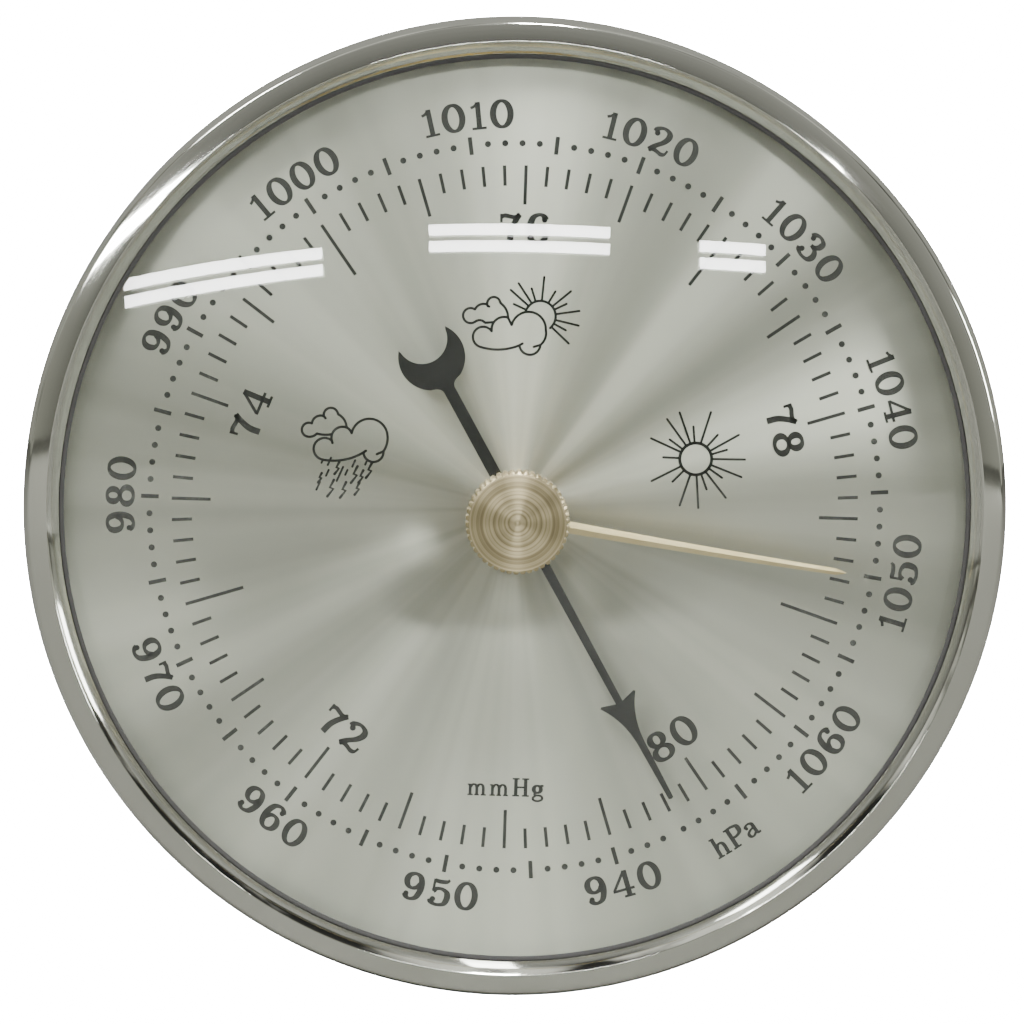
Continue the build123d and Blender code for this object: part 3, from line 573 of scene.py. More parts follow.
def rounded(corners: Sequence[tuple[float, float, float]], steps: int = 6) -> np.ndarray:
    """Rounds the corners of a closed outline.

    An arc of radius r at a corner with half angle h starts r / tan(h) from it, and its centre is
    r / sin(h) away along the bisector.

    Args:
        corners: (first, second, radius) of each corner; a radius of 0 keeps it sharp.
        steps: Number of points on each arc.

    Returns:
        The outline's points, as an array of pairs.
    """
    table = np.array(corners, float)
    here, radius = table[:, :2], table[:, 2:]
    back = np.roll(here, 1, 0) - here
    ahead = np.roll(here, -1, 0) - here
    back /= np.linalg.norm(back, axis=1, keepdims=True)
    ahead /= np.linalg.norm(ahead, axis=1, keepdims=True)
    half = np.arccos(np.clip((back * ahead).sum(1, keepdims=True), -1, 1)) / 2
    bisector = back + ahead
    bisector /= np.linalg.norm(bisector, axis=1, keepdims=True)
    centre = here + bisector * radius / np.sin(half)
    start = here + back * radius / np.tan(half) - centre
    end = here + ahead * radius / np.tan(half) - centre
    sweep = np.pi - 2 * half
    share = np.linspace(0, 1, steps)[None, :]
    first = (np.sin((1 - share) * sweep) / np.sin(sweep))[:, :, None]
    second = (np.sin(share * sweep) / np.sin(sweep))[:, :, None]
    arcs = centre[:, None] + first * start[:, None] + second * end[:, None]
    points = arcs.reshape(-1, 2)
    apart = np.linalg.norm(points - np.roll(points, 1, 0), axis=1) > 1e-6
    return points[apart]


def signed_area(outline: np.ndarray) -> float:
    """Area of a closed outline, positive where it runs anticlockwise."""
    after = np.roll(outline, -1, 0)
    return float((outline[:, 0] * after[:, 1] - after[:, 0] * outline[:, 1]).sum() / 2)


def sphere_y(centre: float, radius: float, distance: np.ndarray | float) -> np.ndarray:
    """Front Y of a sphere on the axis: centre - sqrt(radius^2 - distance^2)."""
    return centre - np.sqrt(radius**2 - np.asarray(distance) ** 2)


@dataclass
class Draft:
    """Vertices and faces of one piece while it is put together, in millimetres."""

    points: list[np.ndarray] = field(default_factory=list)
    faces: list[np.ndarray] = field(default_factory=list)
    spots: list[np.ndarray] = field(default_factory=list)
    count: int = 0

    def add(self, points: np.ndarray, *face_sets: np.ndarray, spots: np.ndarray | None = None) -> None:
        """Adds a closed shell.

        Args:
            points: Vertices as rows of x, y, z.
            face_sets: Arrays of vertex numbers, one row for each face.
            spots: UV of each face corner of the first face set, if the piece has a UV map.
        """
        self.points.append(points.reshape(-1, 3))
        self.faces.extend(faces + self.count for faces in face_sets)
        self.count += len(self.points[-1])
        if spots is not None:
            self.spots.append(spots)

    def build(self, name: str, sharp_angle: float = 35.0) -> bpy.types.Object:
        """Makes the mesh object, smooth except at edges sharper than an angle in degrees."""
        mesh = bpy.data.meshes.new(name)
        faces = [row for faces in self.faces for row in faces.tolist()]
        mesh.from_pydata((np.concatenate(self.points) * MM).tolist(), [], faces)
        if self.spots:
            layer = mesh.uv_layers.new(name="Surface")
            spots = np.concatenate([s.reshape(-1, 2) for s in self.spots])
            layer.data.foreach_set("uv", spots.astype(np.float32).ravel())
        mesh.polygons.foreach_set("use_smooth", np.ones(len(mesh.polygons), bool))
        mesh.set_sharp_from_angle(angle=np.radians(sharp_angle))
        mesh.update()
        piece = bpy.data.objects.new(name, mesh)
        bpy.context.scene.collection.objects.link(piece)
        return piece


def lathe(
    draft: Draft, outline: np.ndarray, turns: int, edge: np.ndarray | None = None
) -> None:
    """Adds a ring turned about Y to a draft.

    The point of outline (r, y) at clock angle a is (r sin a, y, r cos a). UV runs round in u and
    along the outline in v.

    Args:
        draft: Draft that gets the ring.
        outline: Closed loop of (radius, y) points.
        turns: Number of steps round.
        edge: Largest radius allowed at each step, for a knurl, or None.
    """
    if signed_area(outline) > 0:
        outline = outline[::-1]
    angle = 2 * np.pi * np.arange(turns) / turns
    radius = np.repeat(outline[:, :1], turns, axis=1)
    if edge is not None:
        radius = np.minimum(radius, edge[None, :])
    depth = np.repeat(outline[:, 1:], turns, axis=1)
    points = np.stack([radius * np.sin(angle), depth, radius * np.cos(angle)], -1)
    rows = len(outline)
    row, step = np.meshgrid(np.arange(rows), np.arange(turns), indexing="ij")
    below, beside = (row + 1) % rows, (step + 1) % turns
    corners = [row * turns + step, below * turns + step, below * turns + beside, row * turns + beside]
    faces = np.stack(corners, -1).reshape(-1, 4)
    u = np.stack([step, step, step + 1, step + 1], -1) / turns
    v = np.stack([row, row + 1, row + 1, row], -1) / rows
    draft.add(points, faces, spots=np.stack([u, v], -1).reshape(-1, 2))


@dataclass(frozen=True)
class Layer:
    """Front and back Y of flat work, in millimetres."""

    front: float
    back: float


def prisms(draft: Draft, outlines: np.ndarray, layer: Layer) -> None:
    """Adds flat convex pieces, all with the same number of corners.

    Args:
        draft: Draft that gets them.
        outlines: Array of (piece, corner, x and z), anticlockwise as seen from the front.
        layer: Their front and back.
    """
    pieces, corners = outlines.shape[:2]
    front = np.insert(outlines, 1, layer.front, axis=2)
    back = np.insert(outlines, 1, layer.back, axis=2)
    points = np.concatenate([front, back], axis=1)
    start = (np.arange(pieces) * 2 * corners)[:, None]
    around = np.arange(corners)[None, :]
    face = start + around
    rear = start + corners + around[:, ::-1]
    after = (around + 1) % corners
    walls = [start + around, start + corners + around, start + corners + after, start + after]
    draft.add(points, face, rear, np.stack(walls, -1).reshape(-1, 4))


def band(rows: int, corners: int, closed: bool = False) -> np.ndarray:
    """Quads between neighbouring rows of a band whose vertices are numbered row by row.

    Args:
        rows: Number of rows.
        corners: Number of corners in a row.
        closed: Whether the last row joins the first.

    Returns:
        Vertex numbers, one row for each quad.
    """
    row = np.arange(rows if closed else rows - 1)[:, None]
    corner = np.arange(corners)[None, :]
    after, turn = (row + 1) % rows, (corner + 1) % corners
    ring = [row * corners + corner, row * corners + turn, after * corners + turn, after * corners + corner]
    return np.stack(ring, -1).reshape(-1, 4)


def strip(draft: Draft, path: np.ndarray, width: np.ndarray, layer: Layer, closed: bool = False) -> None:
    """Adds a pen stroke: a flat band along a path.

    Args:
        draft: Draft that gets it.
        path: Rows of x and z along the middle.
        width: Full width at each row.
        layer: Its front and back.
        closed: Whether the last point joins the first.
    """
    ahead = np.roll(path, -1, 0) - path
    behind = path - np.roll(path, 1, 0)
    if not closed:
        ahead[-1] = behind[-1]
        behind[0] = ahead[0]
    along = ahead / np.linalg.norm(ahead, axis=1, keepdims=True)
    along += behind / np.linalg.norm(behind, axis=1, keepdims=True)
    along /= np.linalg.norm(along, axis=1, keepdims=True)
    side = np.stack([-along[:, 1], along[:, 0]], 1) * width[:, None] / 2
    left, right = path + side, path - side
    loop = [np.insert(edge, 1, y, axis=1) for y, edge in (
        (layer.front, left), (layer.back, left), (layer.back, right), (layer.front, right),
    )]
    points = np.stack(loop, axis=1)
    count = len(path)
    faces = [band(count, 4, closed)]
    if not closed:
        last = (count - 1) * 4
        faces += [np.array([[3, 2, 1, 0]]), last + np.array([[0, 1, 2, 3]])]
    draft.add(points, *faces)


def turned_to(points: np.ndarray, clock: float) -> np.ndarray:
    """Turns rows of x and z clockwise about the axis; clock is in degrees."""
    angle = np.radians(clock)
    x, z = points[..., 0], points[..., 1]
    return np.stack([x * np.cos(angle) + z * np.sin(angle), z * np.cos(angle) - x * np.sin(angle)], -1)


def disc(radius: float, sides: int = 20) -> np.ndarray:
    """Round outline, anticlockwise."""
    angle = 2 * np.pi * np.arange(sides) / sides
    return radius * np.stack([np.cos(angle), np.sin(angle)], -1)


def smooth(path: np.ndarray, closed: bool, steps: int = 7) -> np.ndarray:
    """Catmull-Rom curve through points: each span leaves along half the chord of its neighbours."""
    if len(path) == 2:
        return path
    if closed:
        padded = np.concatenate([path[-1:], path, path[:2]])
    else:
        padded = np.concatenate([2 * path[:1] - path[1:2], path, 2 * path[-1:] - path[-2:-1]])
    a, b, c, d = (padded[i : len(padded) - 3 + i, None] for i in range(4))
    t = (np.arange(steps) / steps)[None, :, None]
    curve = 2 * b + (c - a) * t + (2 * a - 5 * b + 4 * c - d) * t**2 + (3 * b - a - 3 * c + d) * t**3
    curve = (curve / 2).reshape(-1, 2)
    return curve if closed else np.concatenate([curve, path[-1:]])


def bow(start: Sequence[float], via: Sequence[float], end: Sequence[float], steps: int = 14) -> np.ndarray:
    """Arc through three points.

    The centre c solves 2 (p - start) . c = |p|^2 - |start|^2 for the other two points p.
    """
    a, b, c = (np.array(p, float) for p in (start, via, end))
    centre = np.linalg.solve(2 * np.array([b - a, c - a]), np.array([b @ b - a @ a, c @ c - a @ a]))
    angle = [np.arctan2(*(p - centre)[::-1]) for p in (a, b, c)]
    to_via = (angle[1] - angle[0]) % (2 * np.pi)
    to_end = (angle[2] - angle[0]) % (2 * np.pi)
    sweep = to_end if to_via < to_end else to_end - 2 * np.pi
    turn = angle[0] + sweep * np.linspace(0, 1, steps)
    return centre + np.linalg.norm(a - centre) * np.stack([np.cos(turn), np.sin(turn)], -1)


def quadratic(start: np.ndarray, bend: np.ndarray, end: np.ndarray, steps: int = 14) -> np.ndarray:
    """Curve (1 - t)^2 start + 2 t (1 - t) bend + t^2 end."""
    t = np.linspace(0, 1, steps)[:, None]
    return (1 - t) ** 2 * start + 2 * t * (1 - t) * bend + t**2 * end


def clock_arc(radius: float, first: float, last: float, steps: int) -> np.ndarray:
    """Arc about the origin between two clock angles in radians: r (sin a, cos a)."""
    angle = np.linspace(first, last, steps)
    return radius * np.stack([np.sin(angle), np.cos(angle)], 1)


def linked(name: str, data: bpy.types.ID) -> bpy.types.Object:
    """New object in the scene."""
    thing = bpy.data.objects.new(name, data)
    bpy.context.scene.collection.objects.link(thing)
    return thing


def cut_sheet(name: str, outline: np.ndarray, layer: Layer, edge: float) -> bpy.types.Object:
    """Flat piece of any outline with a small rounded edge.

    Args:
        name: Piece's name.
        outline: Closed loop of x and z.
        layer: Its front and back.
        edge: Radius of the rounded edge.

    Returns:
        The mesh object.
    """
    curve = bpy.data.curves.new(name, "CURVE")
    curve.dimensions = "2D"
    curve.fill_mode = "BOTH"
    curve.extrude = (layer.back - layer.front) / 2 - edge
    curve.bevel_depth = edge
    curve.bevel_resolution = 2
    curve.offset = -edge
    spline = curve.splines.new("POLY")
    spline.points.add(len(outline) - 1)
    flat = np.zeros((len(outline), 4))
    flat[:, :2] = outline
    flat[:, 3] = 1
    spline.points.foreach_set("co", flat.ravel())
    spline.use_cyclic_u = True
    holder = bpy.data.objects.new(name, curve)
    bpy.context.scene.collection.objects.link(holder)
    mesh = bpy.data.meshes.new_from_object(holder.evaluated_get(bpy.context.evaluated_depsgraph_get()))
    bpy.data.objects.remove(holder)
    middle = (layer.front + layer.back) / 2
    upright = Matrix(((1, 0, 0, 0), (0, 0, -1, middle), (0, 1, 0, 0), (0, 0, 0, 1)))
    mesh.transform(Matrix.Scale(MM, 4) @ upright)
    mesh.polygons.foreach_set("use_smooth", np.ones(len(mesh.polygons), bool))
    mesh.set_sharp_from_angle(angle=np.radians(50))
    return linked(name, mesh)


# ---------------------------------------------------------------- bezel, gasket and glass
@dataclass
class Bezel:
    """Spun ring with an outer and an inner face band that meet at a crest."""

    sheet: float = 0.6
    lip_width: float = 3.4
    side_top_drop: float = 1.8
    shoulder_inset: float = 0.5
    shoulder_drop: float = 0.7
    crest_inset: float = 2.4
    aperture_inset: float = 3.75
    aperture_drop: float = 1.2
    crease: float = 0.1
    foot_round: float = 0.45
    side_round: float = 0.9
    shoulder_round: float = 0.5
    mouth_round: float = 0.18
    inside_round: float = 0.3
    inside_shift: float = 0.15
    turns: int = 540

    def build(self, shop: Paintshop) -> bpy.types.Object:
        """Turns the ring and plates it."""
        box = Extent.of("bezel_ring")
        rim, crest = box.high.x, box.low.y
        inner, wall = rim - self.aperture_inset, rim - self.sheet
        corners = [
            (rim - self.lip_width, 0, self.crease),
            (rim, 0, self.foot_round),
            (rim, crest + self.side_top_drop, self.side_round),
            (rim - self.shoulder_inset, crest + self.shoulder_drop, self.shoulder_round),
            (rim - self.crest_inset, crest, self.crease),
            (inner, crest + self.aperture_drop, self.mouth_round),
            (inner + 0.65 * self.sheet, crest + self.aperture_drop + 0.75 * self.sheet, self.crease),
            (rim - self.crest_inset + self.inside_shift, crest + 1.35 * self.sheet, self.crease),
            (wall - self.shoulder_inset, crest + self.shoulder_drop + self.sheet, self.inside_round),
            (wall, crest + self.side_top_drop + self.inside_shift, self.inside_round),
            (wall, -self.sheet, self.crease),
            (rim - self.lip_width, -self.sheet, self.crease),
        ]
        draft = Draft()
        lathe(draft, rounded(corners, 8), self.turns)
        piece = draft.build("bezel_spun", 60)
        return shop.deliver(piece, Slot.BEZEL, Body.CASE, "bezel_ring")


@dataclass
class Dome:
    """Domed glass and the black ring that seals it to the bezel."""

    thickness: float = 1.6
    edge_radius: float = 46.25
    edge_front: float = -4.04
    hole_radius: float = 1.97
    gasket_show: float = 0.42
    gasket_front: float = -4.5
    gasket_lip: float = 0.15
    gasket_step: tuple[float, float] = (0.42, -4.03)
    gap: float = 0.02
    outer_rings: int = 52
    inner_rings: int = 50
    turns: int = 480

    def __post_init__(self) -> None:
        """Works out the sphere: its radius is (edge^2 + rise^2) / (2 rise)."""
        self.top = Extent.of("front_glass").low.y
        rise = self.edge_front - self.top
        self.radius = (self.edge_radius**2 + rise**2) / (2 * rise)
        self.centre = self.top + self.radius

    def build(self, shop: Paintshop) -> list[bpy.types.Object]:
        """Builds the glass and the gasket."""
        return [self.glass(shop), self.gasket(shop)]

    def glass(self, shop: Paintshop) -> bpy.types.Object:
        """Even dome with a ground rim."""
        box = Extent.of("front_glass")
        rim, flat = box.high.x, box.high.y
        inside = self.radius - self.thickness
        flat_radius = np.sqrt(inside**2 - (self.centre - flat) ** 2)
        out = np.linspace(self.hole_radius, rim, self.outer_rings)
        back = np.linspace(flat_radius, self.hole_radius, self.inner_rings)
        outer = np.stack([out, sphere_y(self.centre, self.radius, out)], 1)
        inner = np.stack([back, sphere_y(self.centre, inside, back)], 1)
        outline = np.concatenate([outer, [(rim, flat)], inner])
        draft = Draft()
        lathe(draft, outline, self.turns)
        piece = draft.build("glass_dome")
        return shop.deliver(piece, Slot.GLASS, Body.CASE, "front_glass")

    def gasket(self, shop: Paintshop) -> bpy.types.Object:
        """Wedge between the dome and the bezel's inner edge."""
        box = Extent.of("glass_gasket")
        inner, outer = self.edge_radius - self.gasket_show, box.high.x
        foot = sphere_y(self.centre, self.radius + self.gap, np.array([inner, outer]))
        corners = [
            (inner, float(foot[0]), 0.02),
            (inner, float(foot[0]) - self.gasket_lip, 0.06),
            (self.edge_radius - self.gap, self.gasket_front + self.gap, 0.1),
            (self.edge_radius + self.gasket_step[0], self.gasket_step[1], 0.05),
            (outer, box.low.y + 0.1, 0.02),
            (outer, float(foot[1]), 0.02),
        ]
        draft = Draft()
        lathe(draft, rounded(corners, 5), self.turns)
        piece = draft.build("gasket_ring")
        return shop.deliver(piece, Slot.GASKET, Body.CASE, "glass_gasket")


# ---------------------------------------------------------------- figures
@dataclass(frozen=True)
class Stroke:
    """One pass of the pen through given points, in shares of the cap height.

    The band is heavy where the pen runs upright and light where it runs level.
    """

    path: tuple[tuple[float, float], ...]
    heavy: float = 0.225
    light: float = 0.115
    closed: bool = False


@dataclass(frozen=True)
class Glyph:
    """A figure or letter of a bold slab-serif face, in shares of the cap height."""

    width: float
    strokes: tuple[Stroke, ...]
    balls: tuple[tuple[float, float, float], ...] = ()

    def turned(self) -> "Glyph":
        """The same glyph upside down."""
        flip = [
            Stroke(tuple((self.width - x, 1 - y) for x, y in s.path), s.heavy, s.light, s.closed)
            for s in self.strokes
        ]
        balls = tuple((self.width - x, 1 - y, r) for x, y, r in self.balls)
        return Glyph(self.width, tuple(flip), balls)


def oval(x: float, y: float, half_width: float, half_height: float) -> Stroke:
    """Closed oval stroke."""
    angle = 2 * np.pi * np.arange(16) / 16
    path = np.stack([x + half_width * np.cos(angle), y + half_height * np.sin(angle)], 1)
    return Stroke(tuple(map(tuple, path)), closed=True)


def slab(left: float, right: float, y: float, weight: float = 0.085) -> Stroke:
    """Level serif."""
    return Stroke(((left, y), (right, y)), weight, weight)


def stem(x: float, low: float, high: float, weight: float = 0.19) -> Stroke:
    """Upright stroke."""
    return Stroke(((x, low), (x, high)), weight, weight)


SIX = Glyph(0.80, (
    Stroke((
        (0.65, 0.79), (0.57, 0.91), (0.43, 0.955), (0.24, 0.86), (0.14, 0.60), (0.14, 0.33),
        (0.23, 0.12), (0.41, 0.045), (0.60, 0.13), (0.67, 0.31), (0.60, 0.50), (0.44, 0.57),
        (0.27, 0.50), (0.17, 0.37),
    )),
), ((0.60, 0.80, 0.095),))

GLYPHS: dict[str, Glyph] = {
    "0": Glyph(0.82, (oval(0.41, 0.5, 0.305, 0.45),)),
    "1": Glyph(0.58, (
        stem(0.32, 0.04, 0.96, 0.18),
        Stroke(((0.32, 0.93), (0.20, 0.82), (0.07, 0.77)), 0.10, 0.10),
        slab(0.07, 0.57, 0.045),
    )),
    "2": Glyph(0.80, (
        Stroke((
            (0.11, 0.75), (0.17, 0.88), (0.37, 0.95), (0.58, 0.87), (0.63, 0.70), (0.51, 0.49),
            (0.27, 0.28), (0.10, 0.08),
        )),
        Stroke((
            (0.09, 0.09), (0.23, 0.15), (0.39, 0.12), (0.55, 0.07), (0.68, 0.11), (0.74, 0.27),
        ), 0.08, 0.15),
    ), ((0.19, 0.73, 0.10),)),
    "3": Glyph(0.80, (
        Stroke((
            (0.12, 0.76), (0.20, 0.90), (0.38, 0.955), (0.57, 0.88), (0.59, 0.70), (0.48, 0.57),
            (0.33, 0.53),
        )),
        Stroke((
            (0.33, 0.53), (0.56, 0.48), (0.67, 0.29), (0.59, 0.10), (0.36, 0.045), (0.16, 0.10),
            (0.10, 0.22),
        )),
    ), ((0.20, 0.75, 0.095), (0.19, 0.22, 0.10))),
    "4": Glyph(0.84, (
        Stroke(((0.56, 0.95), (0.06, 0.30)), 0.10, 0.10),
        slab(0.03, 0.80, 0.29, 0.095),
        stem(0.57, 0.04, 0.96, 0.185),
        slab(0.38, 0.77, 0.045),
    )),
    "5": Glyph(0.78, (
        Stroke(((0.17, 0.89), (0.38, 0.87), (0.60, 0.90), (0.68, 0.98)), 0.08, 0.15),
        stem(0.165, 0.50, 0.94, 0.09),
        Stroke((
            (0.16, 0.50), (0.27, 0.60), (0.45, 0.62), (0.64, 0.52), (0.68, 0.32), (0.59, 0.11),
            (0.36, 0.045), (0.16, 0.10), (0.10, 0.22),
        )),
    ), ((0.19, 0.22, 0.10),)),
    "6": SIX,
    "7": Glyph(0.78, (
        stem(0.11, 0.68, 0.96, 0.085),
        Stroke(((0.10, 0.85), (0.24, 0.90), (0.42, 0.86), (0.56, 0.84), (0.72, 0.93)), 0.08, 0.15),
        Stroke(((0.71, 0.93), (0.53, 0.65), (0.41, 0.36), (0.38, 0.02)), 0.21, 0.10),
    )),
    "8": Glyph(0.80, (oval(0.40, 0.745, 0.215, 0.21), oval(0.40, 0.27, 0.285, 0.225))),
    "9": SIX.turned(),
    "h": Glyph(0.76, (
        stem(0.18, 0.04, 0.97, 0.17),
        Stroke(((0.18, 0.42), (0.30, 0.59), (0.46, 0.60), (0.55, 0.44), (0.55, 0.04)), 0.17, 0.10),
        slab(0.02, 0.34, 0.04, 0.08), slab(0.41, 0.72, 0.04, 0.08), slab(0.03, 0.20, 0.94, 0.08),
    )),
    "P": Glyph(0.78, (
        stem(0.21, 0.04, 0.96),
        Stroke(((0.21, 0.95), (0.46, 0.95), (0.66, 0.86), (0.66, 0.60), (0.46, 0.49), (0.21, 0.49))),
        slab(0.03, 0.42, 0.045), slab(0.03, 0.25, 0.955),
    )),
    "a": Glyph(0.70, (
        Stroke((
            (0.12, 0.50), (0.20, 0.60), (0.34, 0.63), (0.47, 0.56), (0.49, 0.42), (0.49, 0.14),
            (0.56, 0.05), (0.66, 0.07),
        ), 0.17, 0.09),
        Stroke((
            (0.49, 0.38), (0.28, 0.34), (0.13, 0.24), (0.14, 0.10), (0.28, 0.045), (0.49, 0.17),
        ), 0.16, 0.09),
    ), ((0.18, 0.49, 0.075),)),
    "m": Glyph(1.14, (
        stem(0.18, 0.04, 0.60, 0.16),
        Stroke(((0.18, 0.42), (0.30, 0.58), (0.44, 0.59), (0.53, 0.44), (0.53, 0.04)), 0.16, 0.10),
        Stroke(((0.53, 0.42), (0.65, 0.58), (0.79, 0.59), (0.88, 0.44), (0.88, 0.04)), 0.16, 0.10),
        slab(0.03, 0.33, 0.04, 0.08), slab(0.40, 0.66, 0.04, 0.08), slab(0.75, 1.03, 0.04, 0.08),
        slab(0.04, 0.20, 0.59, 0.08),
    )),
    "H": Glyph(1.02, (
        stem(0.24, 0.04, 0.96), stem(0.76, 0.04, 0.96), slab(0.24, 0.76, 0.50, 0.10),
        slab(0.05, 0.43, 0.045), slab(0.57, 0.95, 0.045), slab(0.05, 0.43, 0.955), slab(0.57, 0.95, 0.955),
    )),
    "g": Glyph(0.74, (
        oval(0.32, 0.42, 0.19, 0.19),
        Stroke((
            (0.22, 0.24), (0.17, 0.15), (0.26, 0.09), (0.46, 0.08), (0.58, 0.0), (0.56, -0.14),
            (0.34, -0.22), (0.13, -0.16), (0.10, -0.04), (0.22, 0.07),
        ), 0.13, 0.11),
        Stroke(((0.44, 0.55), (0.54, 0.62), (0.66, 0.60)), 0.10, 0.10),
    )),
}


@dataclass
class Pen:
    """Draws on the dial in ink that stands a little in front of it."""

    layer: Layer
    draft: Draft = field(default_factory=Draft)

    def glyph(
        self, shape: Glyph, height: float, centre: np.ndarray, across: np.ndarray, up: np.ndarray
    ) -> None:
        """Draws a glyph.

        Args:
            shape: What to draw.
            height: Cap height.
            centre: x and z of the middle of the glyph's box.
            across: Unit x and z of its reading direction.
            up: Unit x and z towards its top.
        """
        def put(points: np.ndarray) -> np.ndarray:
            offset = (points - (shape.width / 2, 0.5)) * height
            return centre + offset[:, :1] * across + offset[:, 1:] * up

        for stroke in shape.strokes:
            path = smooth(np.array(stroke.path), stroke.closed)
            run = np.gradient(path, axis=0)
            lean = np.abs(run[:, 1]) / np.linalg.norm(run, axis=1)
            width = stroke.light + (stroke.heavy - stroke.light) * lean**1.6
            strip(self.draft, put(path), width * height, self.layer, stroke.closed)
        for x, y, radius in shape.balls:
            ring = disc(radius) + (x, y)
            prisms(self.draft, put(ring)[None], self.layer)

    def on_ring(
        self, text: str, clock: float, radius: float, height: float, facing: Facing, gap: float
    ) -> None:
        """Writes a word along a ring, each glyph turned to its own place.

        Args:
            text: Figures and letters to write.
            clock: Clock angle of the word's middle.
            radius: Radius of the glyphs' middle.
            height: Cap height.
            facing: Where the glyphs' tops point.
            gap: Space between glyphs.
        """
        widths = np.array([GLYPHS[letter].width * height for letter in text])
        starts = np.concatenate([[0], np.cumsum(widths + gap)[:-1]])
        middles = starts + widths / 2 - (widths.sum() + gap * (len(text) - 1)) / 2
        for letter, shift in zip(text, middles):
            angle = np.radians(clock) + facing.value * shift / radius
            up = np.array([np.sin(angle), np.cos(angle)])
            across = np.array([up[1], -up[0]])
            self.glyph(GLYPHS[letter], height, up * radius, across * facing.value, up * facing.value)

    def level(self, text: str, centre: tuple[float, float], height: float, gap: float) -> None:
        """Writes an upright word with its middle at a place."""
        widths = [GLYPHS[letter].width * height for letter in text]
        x = centre[0] - (sum(widths) + gap * (len(text) - 1)) / 2
        for letter, width in zip(text, widths):
            middle = np.array([x + width / 2, centre[1]])
            self.glyph(GLYPHS[letter], height, middle, np.array([1.0, 0.0]), np.array([0.0, 1.0]))
            x += width + gap

    def ticks(self, clocks: np.ndarray, inner: float, outer: float, width: float) -> None:
        """Draws radial lines at several clock angles."""
        half = width / 2
        line = np.array([(-half, inner), (half, inner), (half, outer), (-half, outer)])
        prisms(self.draft, np.stack([turned_to(line, clock) for clock in clocks]), self.layer)

    def dots(self, clocks: np.ndarray, radius: float, size: float) -> None:
        """Draws dots at several clock angles."""
        dot = disc(size / 2, 12) + (0, radius)
        prisms(self.draft, np.stack([turned_to(dot, clock) for clock in clocks]), self.layer)

    def line(self, path: np.ndarray, width: float) -> None:
        """Draws a line of even width with round ends."""
        strip(self.draft, path, np.full(len(path), width), self.layer)
        for end in (path[0], path[-1]):
            prisms(self.draft, (disc(width / 2, 10) + end)[None], self.layer)

    def finish(self, name: str, shop: Paintshop) -> bpy.types.Object:
        """Turns the drawing into a piece."""
        piece = self.draft.build(name)
        shop.coat(piece, INK)
        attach(piece, Body.CASE.value)
        return piece


# ---------------------------------------------------------------- dial
@dataclass
class Scale:
    """Readings spread evenly round the dial."""

    per_turn: float
    at_top: float

    def clock(self, reading: np.ndarray | float) -> np.ndarray | float:
        """Clock angle of a reading: (reading - the one at the top) 360 / readings in a turn."""
        return (reading - self.at_top) * 360 / self.per_turn


@dataclass
class PressureScale(Scale):
    """Outer scale in hectopascals: a dot for each, a line and a number for some."""

    per_turn: float = 133.322
    at_top: float = 1013.25
    first: int = 937
    last: int = 1069
    dot_radius: float = 37.03
    dot_size: float = 0.64
    line_inner: float = 36.1
    line_outer: float = 37.9
    line_width: float = 0.42
    figure_radius: float = 40.0
    figure_height: float = 2.9
    figure_gap: float = 0.42
    unit_clock: float = 144.5
    unit_height: float = 2.3

    def build(self, layer: Layer, shop: Paintshop) -> list[bpy.types.Object]:
        """Draws the dots and lines, and the figures."""
        marks = np.arange(self.first, self.last + 1)
        fives = marks % 5 == 0
        scale = Pen(layer)
        scale.dots(self.clock(marks[~fives]), self.dot_radius, self.dot_size)
        scale.ticks(self.clock(marks[fives]), self.line_inner, self.line_outer, self.line_width)
        figures = Pen(layer)
        for value in range(940, 1061, 10):
            facing = Facing.OUTWARD if 980 <= value <= 1040 else Facing.INWARD
            size = (self.figure_radius, self.figure_height, facing, self.figure_gap)
            figures.on_ring(str(value), self.clock(value), *size)
        unit = (self.unit_clock, self.figure_radius + 0.4, self.unit_height, Facing.INWARD, 0.05)
        figures.on_ring("hPa", *unit)
        return [scale.finish("hectopascal_marks", shop), figures.finish("hectopascal_figures", shop)]


@dataclass
class MercuryScale(Scale):
    """Inner scale in millimetres of mercury, numbered in centimetres."""

    per_turn: int = 100
    at_top: int = 760
    outer: float = 34.8
    short_inner: float = 32.75
    long_inner: float = 30.85
    longest_inner: float = 28.7
    width: float = 0.34
    figure_radius: float = 28.5
    figure_height: float = 3.1
    figure_gap: float = 0.35
    unit_height: float = 1.9
    unit_gap: float = 0.1

    def build(self, layer: Layer, shop: Paintshop) -> list[bpy.types.Object]:
        """Draws the lines, and the figures."""
        marks = self.at_top - self.per_turn // 2 + np.arange(self.per_turn)
        longest = np.isin(marks, (730, 750, 770, 790))
        longer = (marks % 5 == 0) & ~longest
        scale = Pen(layer)
        short = ~longer & ~longest
        inners = (self.short_inner, self.long_inner, self.longest_inner)
        for chosen, inner in zip((short, longer, longest), inners):
            scale.ticks(self.clock(marks[chosen]), inner, self.outer, self.width)
        figures = Pen(layer)
        for value in (72, 74, 76, 78, 80):
            facing = Facing.OUTWARD if 73 < value < 79 else Facing.INWARD
            size = (self.figure_radius, self.figure_height, facing, self.figure_gap)
            figures.on_ring(str(value), self.clock(value * 10), *size)
        figures.level("mmHg", (0, -self.figure_radius), self.unit_height, self.unit_gap)
        return [scale.finish("mercury_marks", shop), figures.finish("mercury_figures", shop)]


